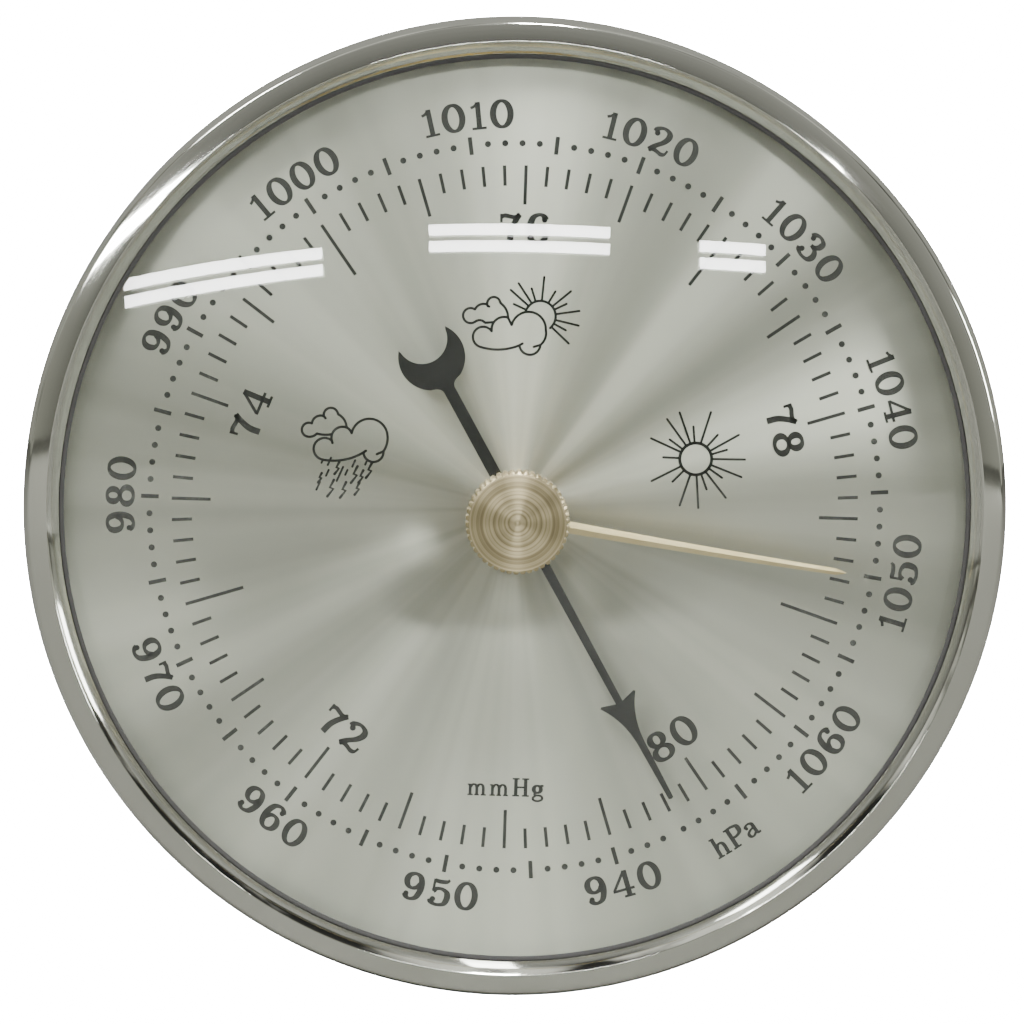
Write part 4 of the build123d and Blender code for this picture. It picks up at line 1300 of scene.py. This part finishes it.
@dataclass
class WeatherSymbols:
    """Line drawings for rain, change and fair weather."""

    line: float = 0.26
    rain_line: float = 0.22
    sun_radius: float = 1.62
    long_ray: float = 5.0
    short_ray: float = 3.3
    change_at: tuple[float, float] = (-0.9, 19.0)
    fair_at: tuple[float, float] = (18.15, 5.6)
    rain_at: tuple[float, float] = (-17.6, 6.1)

    def build(self, layer: Layer, shop: Paintshop) -> list[bpy.types.Object]:
        """Draws the three symbols."""
        return [self.fair(layer, shop), self.change(layer, shop), self.rain(layer, shop)]

    def rays(self, pen: Pen, centre: np.ndarray, clocks: Sequence[float], length: float) -> None:
        """Draws rays from the sun's edge, all of one length."""
        for clock in clocks:
            ray = turned_to(np.array([(0, self.sun_radius), (0, length)]), clock)
            pen.line(ray + centre, self.line * 0.9)

    def cloud(
        self, pen: Pen, middle: np.ndarray, arcs: Sequence[Sequence[Sequence[float]]],
        hooks: Sequence[Sequence[Sequence[float]]],
    ) -> None:
        """Draws a cloud's arcs, and the short hooks where they cross.

        Args:
            pen: What draws it.
            middle: Place of the symbol on the dial.
            arcs: Start, a place on the way, and end of each arc.
            hooks: Start and end of each hook.
        """
        for arc in arcs:
            pen.line(bow(*(np.array(place) + middle for place in arc)), self.line)
        for hook in hooks:
            pen.line(np.array(hook) + middle, self.line)

    def fair(self, layer: Layer, shop: Paintshop) -> bpy.types.Object:
        """Sun with rays of two lengths."""
        pen = Pen(layer)
        centre = np.array(self.fair_at)
        ring = disc(self.sun_radius, 48) + centre
        strip(pen.draft, ring, np.full(48, self.line * 1.2), layer, closed=True)
        long_clocks = (-21, 16, 59, 89, 110, 140.5, 175, 197, 241.5, 293, 322.5)
        short_clocks = (-6, 40.5, 72, 124, 158.5, 223.5, 271, 305)
        self.rays(pen, centre, long_clocks, self.long_ray)
        self.rays(pen, centre, short_clocks, self.short_ray)
        return pen.finish("symbol_fair", shop)

    def change(self, layer: Layer, shop: Paintshop) -> bpy.types.Object:
        """Sun behind two clouds."""
        pen = Pen(layer)
        place_at = np.array(self.change_at)
        sun = place_at + (2.82, 0.6)
        long_clocks, short_clocks = (-50, -35, 4, 49, 80.5, 102, 132), (-67, -19, 29.5, 63, 117)
        self.rays(pen, sun, long_clocks, 4.0)
        self.rays(pen, sun, short_clocks, 2.95)
        start, top, end = (turned_to(np.array([(0, self.sun_radius - 0.06)]), c)[0] for c in (-76, 30, 138))
        pen.line(bow(sun + start, sun + top, sun + end, 30), self.line)
        outline = [
            ((-0.04, -0.37), (1.72, 1.02), (3.43, -0.78)),
            ((3.43, -0.78), (3.41, -1.56), (2.93, -2.31)),
            ((-2.04, -1.06), (-3.93, -1.68), (-3.24, -2.66)),
            ((-3.24, -2.66), (-1.5, -2.91), (0.81, -2.41)),
            ((-2.04, -1.06), (-1.4, 0.27), (-0.44, 0.37)),
            ((0.81, -2.41), (1.87, -3.34), (2.93, -2.31)),
            ((-3.80, 1.10), (-3.12, 1.66), (-2.62, 1.64)),
            ((-2.53, 1.47), (-1.9, 2.41), (-1.25, 1.81)),
            ((-3.80, 1.10), (-4.99, 0.44), (-3.74, -0.15)),
            ((-3.74, -0.15), (-3.37, 0.01), (-2.74, -0.22)),
            ((-2.74, -0.22), (-2.4, -0.2), (-1.99, -0.15)),
            ((-1.25, 1.81), (-0.66, 1.2), (-0.44, 0.37)),
        ]
        hooks = [
            ((-2.53, 1.47), (-2.37, 1.43)), ((0.81, -2.41), (1.12, -2.22)), ((2.93, -2.31), (2.27, -2.52)),
            ((-0.44, 0.37), (-0.04, -0.37)),
        ]
        self.cloud(pen, place_at, outline, hooks)
        return pen.finish("symbol_change", shop)

    def rain(self, layer: Layer, shop: Paintshop) -> bpy.types.Object:
        """Two clouds with rain and lightning."""
        pen = Pen(layer)
        place_at = np.array(self.rain_at)
        outline = [
            ((0.81, 1.06), (2.68, 2.58), (4.46, 0.81)),
            ((4.46, 0.81), (4.38, -0.03), (4.09, -0.69)),
            ((-1.18, 0.25), (-2.99, -0.69), (-2.12, -1.71)),
            ((-2.12, -1.71), (-0.12, -1.72), (2.06, -0.87)),
            ((-1.18, 0.25), (-0.94, 1.30), (-0.12, 1.68)),
            ((-0.12, 1.68), (0.44, 1.53), (0.81, 1.06)),
            ((2.06, -0.87), (3.12, -1.81), (4.09, -0.69)),
            ((-3.24, 1.93), (-2.81, 2.62), (-2.06, 2.70)),
            ((-2.06, 2.70), (-1.37, 3.57), (-0.62, 2.93)),
            ((-3.24, 1.93), (-4.24, 1.31), (-3.59, 0.56)),
            ((-3.59, 0.56), (-3.12, 0.62), (-2.70, 0.91)),
            ((-2.70, 0.91), (-1.99, 0.81), (-1.27, 0.87)),
            ((-0.62, 2.93), (0.0, 2.43), (0.27, 1.60)),
        ]
        hooks = [
            ((-2.06, 2.70), (-1.87, 2.49)), ((2.06, -0.87), (2.31, -0.69)), ((4.09, -0.69), (3.43, -1.0)),
            ((-1.18, 0.25), (-1.10, 0.0)),
        ]
        drops = [(-2.0, -1.7, 0.35), (-1.2, -1.5, 0.75), (0.05, -2.4, 1.45), (0.5, -2.7, 0.5),
                 (1.25, -1.7, 0.65), (2.4, -1.8, 0.3), (-1.4, -2.75, 0.6), (-2.25, -4.0, 0.8)]
        bolts = [(-0.35, -1.9, 1.25), (1.5, -2.3, 1.7), (2.1, -2.7, 1.25), (2.95, -1.9, 1.55),
                 (-2.1, -3.1, 0.95), (-0.85, -3.75, 1.7), (0.4, -3.95, 1.6), (1.75, -3.95, 1.25)]
        zigzag = np.array([(0, 0), (-0.22, -0.46), (-0.02, -0.54), (-0.36, -1.0)])
        self.cloud(pen, place_at, outline, hooks)
        for x, z, length in drops:
            pen.line(np.array([(x, z), (x - 0.42 * length, z - length)]) + place_at, self.rain_line)
        for x, z, length in bolts:
            pen.line(zigzag * length + (x, z) + place_at, self.rain_line * 1.3)
        return pen.finish("symbol_rain", shop)


@dataclass
class Dial:
    """Silvered disc with everything that is printed on it."""

    hole_radius: float = 2.5
    ink: float = 0.02
    turns: int = 360

    def build(self, shop: Paintshop) -> list[bpy.types.Object]:
        """Builds the disc and the print."""
        box = Extent.of("dial_plate")
        corners = [
            (self.hole_radius, box.low.y, 0.05), (box.high.x, box.low.y, 0.06),
            (box.high.x, box.high.y, 0.06), (self.hole_radius, box.high.y, 0.05),
        ]
        draft = Draft()
        lathe(draft, rounded(corners, 4), self.turns)
        plate = draft.build("dial_silvered")
        shop.deliver(plate, Slot.DIAL, Body.CASE, "dial_plate")
        layer = Layer(box.low.y - self.ink, box.low.y + self.ink)
        scales = PressureScale().build(layer, shop) + MercuryScale().build(layer, shop)
        return [plate, *scales, *WeatherSymbols().build(layer, shop)]


# ---------------------------------------------------------------- hands and knob
@dataclass
class PressureHand:
    """Flat black hand with an arrow in front and a crescent behind."""

    clock: float = 149.8
    length: float = 33.2
    arrow_length: float = 11.4
    arrow_half_width: float = 1.95
    arrow_shoulder: float = 5.0
    notch: float = 0.35
    neck: float = 0.335
    root: float = 0.47
    tip: float = 0.22
    tail: float = 0.56
    hub_radius: float = 2.3
    crescent_distance: float = 17.8
    crescent_radius: float = 3.34
    bite_shift: float = 2.1
    bite_radius: float = 2.6
    horn: float = 0.28
    horn_side: float = 0.15
    flare: float = 1.0
    flare_bend: float = 0.2
    arrow_bend: tuple[float, float] = (0.1, 0.42)
    crescent_clocks: tuple[float, float] = (30, 128.0)
    bite_clock: float = 84
    sheet_edge: float = 0.04

    def half_outline(self) -> np.ndarray:
        """Right half of the outline from the tip to the middle of the crescent's bite."""
        barb = self.length - self.arrow_length
        shoulder = np.array([self.neck, barb + self.arrow_shoulder])
        corner = np.array([self.arrow_half_width, barb])
        bend = np.array([self.neck + self.arrow_bend[0], barb + self.arrow_bend[1] * self.arrow_shoulder])
        side = quadratic(shoulder, bend, corner)
        hub_top = np.arcsin(self.root / self.hub_radius)
        hub_low = np.pi - np.arcsin(self.tail / self.hub_radius)
        hub_arc = clock_arc(self.hub_radius, hub_top, hub_low, 24)
        middle = np.array([0, -self.crescent_distance])
        ends = (np.radians(clock) for clock in self.crescent_clocks)
        outer = middle + clock_arc(self.crescent_radius, *ends, 26)
        bite_middle = middle - (0, self.bite_shift)
        inner = bite_middle + clock_arc(self.bite_radius, np.radians(self.bite_clock), 0, 22)
        flare_top = np.array([self.tail, outer[0, 1] + self.flare])
        flare_bend = np.array([self.tail, outer[0, 1] + self.flare_bend * self.flare])
        flare = quadratic(flare_top, flare_bend, outer[0])
        horn_bend = (outer[-1] + inner[0]) / 2 + (self.horn_side, -self.horn)
        horn = quadratic(outer[-1], horn_bend, inner[0])
        return np.concatenate([
            [(0, self.length), (self.tip, self.length - 0.08)],
            side,
            [corner - (0.12, 0.1)],
            [(self.neck, barb + self.notch), (self.root, hub_arc[0, 1] + 0.01)],
            hub_arc, flare, outer[1:], horn[1:], inner[1:],
        ])

    def build(self, shop: Paintshop) -> bpy.types.Object:
        """Cuts the hand from sheet and paints it."""
        box = Extent.of("indicating_hand")
        right = self.half_outline()
        left = (right * (-1, 1))[::-1]
        outline = np.concatenate([right, left[1:-1]])
        layer = Layer(box.low.y, box.high.y)
        piece = cut_sheet("hand_painted", turned_to(outline, self.clock), layer, self.sheet_edge)
        return shop.deliver(piece, Slot.BLACK_HAND, Body.HAND, "indicating_hand")


@dataclass
class SetHand:
    """Narrow brass blade with a ridge, curved to follow the inside of the dome."""

    clock: float = 98.7
    length: float = 33.9
    root_width: float = 1.3
    tip_width: float = 0.65
    point: float = 1.0
    thickness: float = 0.35
    gap: float = 0.75
    hub_radius: float = 2.2
    hole_radius: float = 1.02
    rows: int = 60
    section_across: tuple[float, ...] = (-1, -0.62, 0, 0.62, 1, 0.8, 0, -0.8)
    section_depth: tuple[float, ...] = (0.4, 0.22, 0.0, 0.22, 0.4, 1.0, 1.0, 1.0)
    blunt: float = 0.12

    def build(self, dome: Dome, shop: Paintshop) -> bpy.types.Object:
        """Builds the blade and its hub.

        Args:
            dome: Glass that the blade follows.
            shop: Where it is finished.

        Returns:
            The finished piece.
        """
        outer = dome.radius - dome.thickness - self.gap
        along = np.linspace(0.9 * self.hub_radius, self.length, self.rows)
        taper = self.root_width + (self.tip_width - self.root_width) * along / self.length
        half = taper / 2 * np.minimum(1, self.blunt + (self.length - along) / self.point)
        front = sphere_y(dome.centre, outer, along)
        across = np.array(self.section_across)
        depth = np.array(self.section_depth) * self.thickness
        flat = np.stack([half[:, None] * across, np.repeat(along[:, None], len(across), 1)], -1)
        flat = turned_to(flat, self.clock)
        points = np.stack([flat[..., 0], front[:, None] + depth, flat[..., 1]], -1)
        count = len(across)
        ends = [np.arange(count)[None, ::-1], (self.rows - 1) * count + np.arange(count)[None, :]]
        draft = Draft()
        draft.add(points, band(self.rows, count), *ends)
        hub_y = float(sphere_y(dome.centre, outer, 0.0))
        corners = [
            (self.hole_radius, hub_y, 0.03), (self.hub_radius, hub_y + 0.02, 0.06),
            (self.hub_radius, hub_y + self.thickness, 0.06), (self.hole_radius, hub_y + self.thickness, 0.03),
        ]
        lathe(draft, rounded(corners, 3), 72)
        draft.spots.clear()
        piece = draft.build("set_hand_blade", 20)
        return shop.deliver(piece, Slot.GILT, Body.SET, "set_hand")


@dataclass
class SetKnob:
    """Turned brass knob with a flat face and a straight-knurled edge."""

    teeth: int = 46
    groove: float = 0.24
    chamfer: float = 0.32
    bore: float = 1.02
    bore_depth: float = 1.6
    land: float = 1.9
    groove_power: float = 0.8
    back_chamfer: float = 0.12
    axis_gap: float = 0.0005
    steps: int = 14

    def build(self, shop: Paintshop) -> bpy.types.Object:
        """Turns the knob, cuts the knurl and finishes it."""
        box = Extent.of("set_knob")
        radius = (box.high.x - box.low.x) / 2
        front, back = box.low.y, box.high.y
        count = self.teeth * self.steps
        phase = (np.arange(count) / self.steps) % 1
        cut = np.clip(np.abs(phase - 0.5) * 2, 0, 1)
        edge = radius - self.groove * (1 - np.clip(cut * self.land, 0, 1)) ** self.groove_power
        floor = back - self.bore_depth
        corners = [
            (self.axis_gap, front, 0), (radius - self.chamfer, front, 0.06),
            (radius, front + self.chamfer, 0.05), (radius, back - self.back_chamfer, 0.02),
            (radius - self.back_chamfer, back, 0.02), (self.bore, back, 0.02),
            (self.bore, floor, 0.02), (self.axis_gap, floor, 0),
        ]
        draft = Draft()
        outline = rounded(corners, 4)
        lathe(draft, outline, count, edge)
        piece = draft.build("knob_turned", 25)
        return shop.deliver(piece, Slot.TURNED_BRASS, Body.SET, "set_knob")


# ---------------------------------------------------------------- everything behind the dial
@dataclass
class Works:
    """Pieces that keep their CAD mesh: the cup behind and the movement in it."""

    nodes: Mapping[str, bpy.types.Object]
    record: Mapping[str, object]

    def dress(self, shop: Paintshop) -> list[bpy.types.Object]:
        """Gives each CAD node the finish of its material slot."""
        for part in self.record["subparts"]:
            shop.coat(self.nodes[part["node"]], FINISHES[Slot(part["material_slot"])])
        return list(self.nodes.values())


# ---------------------------------------------------------------- studio
def area_lamp(name: str, width: float, height: float, radiance: float) -> bpy.types.Object:
    """Makes a flat lamp: its power is pi times radiance times area.

    Args:
        name: Lamp's name.
        width: Its size along its own x, in metres.
        height: Its size along its own y, in metres.
        radiance: How bright its face is.

    Returns:
        The lamp object.
    """
    lamp = bpy.data.lights.new(name, "AREA")
    lamp.shape = "RECTANGLE"
    lamp.size, lamp.size_y = width, height
    lamp.energy = np.pi * radiance * lamp.size * lamp.size_y
    return linked(name, lamp)


@dataclass(frozen=True)
class Softbox:
    """Soft lamp, placed by the clock angle and the tilt away from the dial's axis."""

    name: str
    clock: float
    tilt: float
    distance: float
    width: float
    height: float
    radiance: float

    def build(self) -> bpy.types.Object:
        """Hangs the lamp so that it faces the dial."""
        thing = area_lamp(self.name, self.width * MM, self.height * MM, self.radiance)
        clock, tilt = np.radians(self.clock), np.radians(self.tilt)
        aim = Vector((np.sin(clock) * np.sin(tilt), -np.cos(tilt), np.cos(clock) * np.sin(tilt)))
        thing.location = aim * self.distance * MM
        thing.rotation_euler = aim.to_track_quat("Z", "Y").to_euler()
        return thing


@dataclass(frozen=True)
class TubePair:
    """Two parallel tube lamps, placed where the dome mirrors them to the camera.

    start and end are x and z on the dome, where the middle of the pair is seen.
    """

    name: str
    start: tuple[float, float]
    end: tuple[float, float]
    distance: float = 1500.0
    thickness: float = 34.0
    spacing: float = 50.0
    radiance: float = 75.0


@dataclass
class Studio:
    """Floor, lamps, surroundings and camera."""

    elevation: float = 5.7
    azimuth: float = -1.2
    roll: float = 1.85
    distance: float = 700.0
    frame_width: float = 104.24
    target: tuple[float, float, float] = (-0.31, -3.0, -0.32)
    paper_white: float = 60.0
    room_dark: float = 0.06
    room_light: float = 0.62
    room_colours: tuple[str, str] = ("#c0c1b2", "#f4f4ee")
    ceiling_band: tuple[float, float] = (-0.6, 0.9)
    dark_band: tuple[float, float] = (-0.96, -0.62)
    clutter_scale: float = 3.2
    clutter_band: tuple[float, float] = (0.42, 0.58)
    clutter_range: tuple[float, float] = (0.06, 2.2)
    side_from: tuple[float, float] = (-0.55, -0.3)
    side_to: tuple[float, float] = (0.45, 0.1)
    floor_gap: float = 0.3
    floor_size: float = 6000.0
    softboxes: tuple[Softbox, ...] = (
        Softbox("overhead_box", 3, 60, 1300, 130, 400, 130.0),
        Softbox("left_box", 322, 62, 1300, 180, 300, 55.0),
        Softbox("right_box", 76, 64, 1300, 220, 300, 55.0),
    )
    tubes: tuple[TubePair, ...] = (
        TubePair("tubes_middle", (-9.7, 27.7), (8.5, 28.0)),
        TubePair("tubes_left", (-40.3, 20.8), (-20.3, 25.0)),
        TubePair("tubes_right", (17.6, 26.9), (24.3, 26.6)),
    )

    def view_direction(self) -> Vector:
        """Unit vector from the object to the camera."""
        up, side = np.radians(self.elevation), np.radians(self.azimuth)
        return Vector((np.sin(side) * np.cos(up), -np.cos(side) * np.cos(up), np.sin(up)))

    def camera_place(self) -> Vector:
        """Place of the camera, in metres."""
        return (Vector(self.target) + self.view_direction() * self.distance) * MM

    def mirrored(self, spot: tuple[float, float], dome: Dome, distance: float) -> Vector:
        """Place whose mirror image in the dome is at a spot, in metres.

        With the unit ray d from camera to spot and the normal n there, the way on is d - 2 (d.n) n.
        """
        reach = float(np.hypot(*spot))
        point = Vector((spot[0], float(sphere_y(dome.centre, dome.radius, reach)), spot[1])) * MM
        normal = (point - Vector((0, dome.centre * MM, 0))).normalized()
        ray = (point - self.camera_place()).normalized()
        return point + ray.reflect(normal) * distance * MM

    def tube_lamps(self, dome: Dome) -> None:
        """Hangs each pair of tubes."""
        for pair in self.tubes:
            ends = [self.mirrored(spot, dome, pair.distance) for spot in (pair.start, pair.end)]
            middle = (ends[0] + ends[1]) / 2
            along = (ends[1] - ends[0]).normalized()
            across = middle.cross(along).normalized()
            facing = Matrix((along, across, along.cross(across))).transposed()
            for side in (-1, 1):
                span = (ends[1] - ends[0]).length
                thing = area_lamp(f"{pair.name}_{side}", span, pair.thickness * MM, pair.radiance)
                shift = across * side * pair.spacing / 2 * MM
                thing.matrix_world = Matrix.Translation(middle + shift) @ facing.to_4x4()

    def surroundings(self) -> None:
        """White to the camera; to everything else a pale room with a brighter ceiling."""
        world = bpy.data.worlds.new("studio")
        world.use_nodes = True
        tree = world.node_tree
        tree.nodes.clear()
        direction = node(tree, "ShaderNodeTexCoord").outputs["Generated"]
        parts = node(tree, "ShaderNodeSeparateXYZ", None, {0: direction}).outputs
        room_colour = blend(tree, ramp(tree, parts[2], *self.ceiling_band), *self.room_colours)
        aside = ramp(tree, parts[1], *self.dark_band)
        behind_viewer = between(tree, aside, self.room_dark, self.room_light)
        grain = {"Vector": direction, "Scale": self.clutter_scale, "Detail": 4}
        noise = node(tree, "ShaderNodeTexNoise", None, grain)
        clutter = between(tree, ramp(tree, noise.outputs[0], *self.clutter_band), *self.clutter_range)
        at_side = ramp(tree, parts[1], *self.side_from)
        at_side = arithmetic(tree, "MULTIPLY", at_side, ramp(tree, parts[1], *self.side_to))
        uneven = node(tree, "ShaderNodeMix", None, {"Factor": at_side, 2: 1.0, 3: clutter}).outputs[0]
        strength = arithmetic(tree, "MULTIPLY", behind_viewer, uneven)
        room = node(tree, "ShaderNodeBackground", None, {"Color": room_colour, "Strength": strength})
        white = node(tree, "ShaderNodeBackground", None, {"Strength": self.paper_white})
        seen = node(tree, "ShaderNodeLightPath").outputs["Is Camera Ray"]
        mixed = node(tree, "ShaderNodeMixShader", None, {0: seen, 1: room.outputs[0], 2: white.outputs[0]})
        node(tree, "ShaderNodeOutputWorld", None, {"Surface": mixed.outputs[0]})
        bpy.context.scene.world = world

    def floor(self, shop: Paintshop) -> bpy.types.Object:
        """Large pale floor just below the object."""
        low = Extent.of("bezel_ring").low.z - self.floor_gap
        half = self.floor_size / 2
        corners = np.array([(-half, -half, low), (half, -half, low), (half, half, low), (-half, half, low)])
        draft = Draft()
        draft.add(corners, np.array([[0, 1, 2, 3]]))
        piece = draft.build("studio_floor")
        shop.coat(piece, StudioPaper("studio_paper", "#7c7c78"))
        return piece

    def camera(self) -> bpy.types.Object:
        """Camera whose picture is frame_width across at the target."""
        lens = bpy.data.cameras.new("view")
        lens.sensor_width = 36
        lens.lens = lens.sensor_width * self.distance / self.frame_width
        lens.clip_start, lens.clip_end = 0.01, 20
        thing = linked("view", lens)
        turn = self.view_direction().to_track_quat("Z", "Y").to_matrix().to_4x4()
        roll = Matrix.Rotation(np.radians(self.roll), 4, "Z")
        thing.matrix_world = Matrix.Translation(self.camera_place()) @ turn @ roll
        bpy.context.scene.camera = thing
        return thing

    def build(self, dome: Dome, shop: Paintshop) -> None:
        """Sets up the whole studio."""
        self.floor(shop)
        self.surroundings()
        for box in self.softboxes:
            box.build()
        self.tube_lamps(dome)
        self.camera()


def main() -> None:
    """Builds the barometer's looks and the studio."""
    logging.basicConfig(level=logging.INFO, format="%(name)s: %(message)s")
    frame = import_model()
    shop = Paintshop()
    dome = Dome()
    pieces = Works(frame["nodes"], frame["record"]).dress(shop)
    pieces += [Bezel().build(shop), *dome.build(shop), *Dial().build(shop)]
    pieces += [PressureHand().build(shop), SetHand().build(dome, shop), SetKnob().build(shop)]
    for piece in pieces:
        LOG.info("%s: %d faces", piece.name, len(piece.data.polygons))
    Studio().build(dome, shop)


if __name__ == "__main__":
    main()
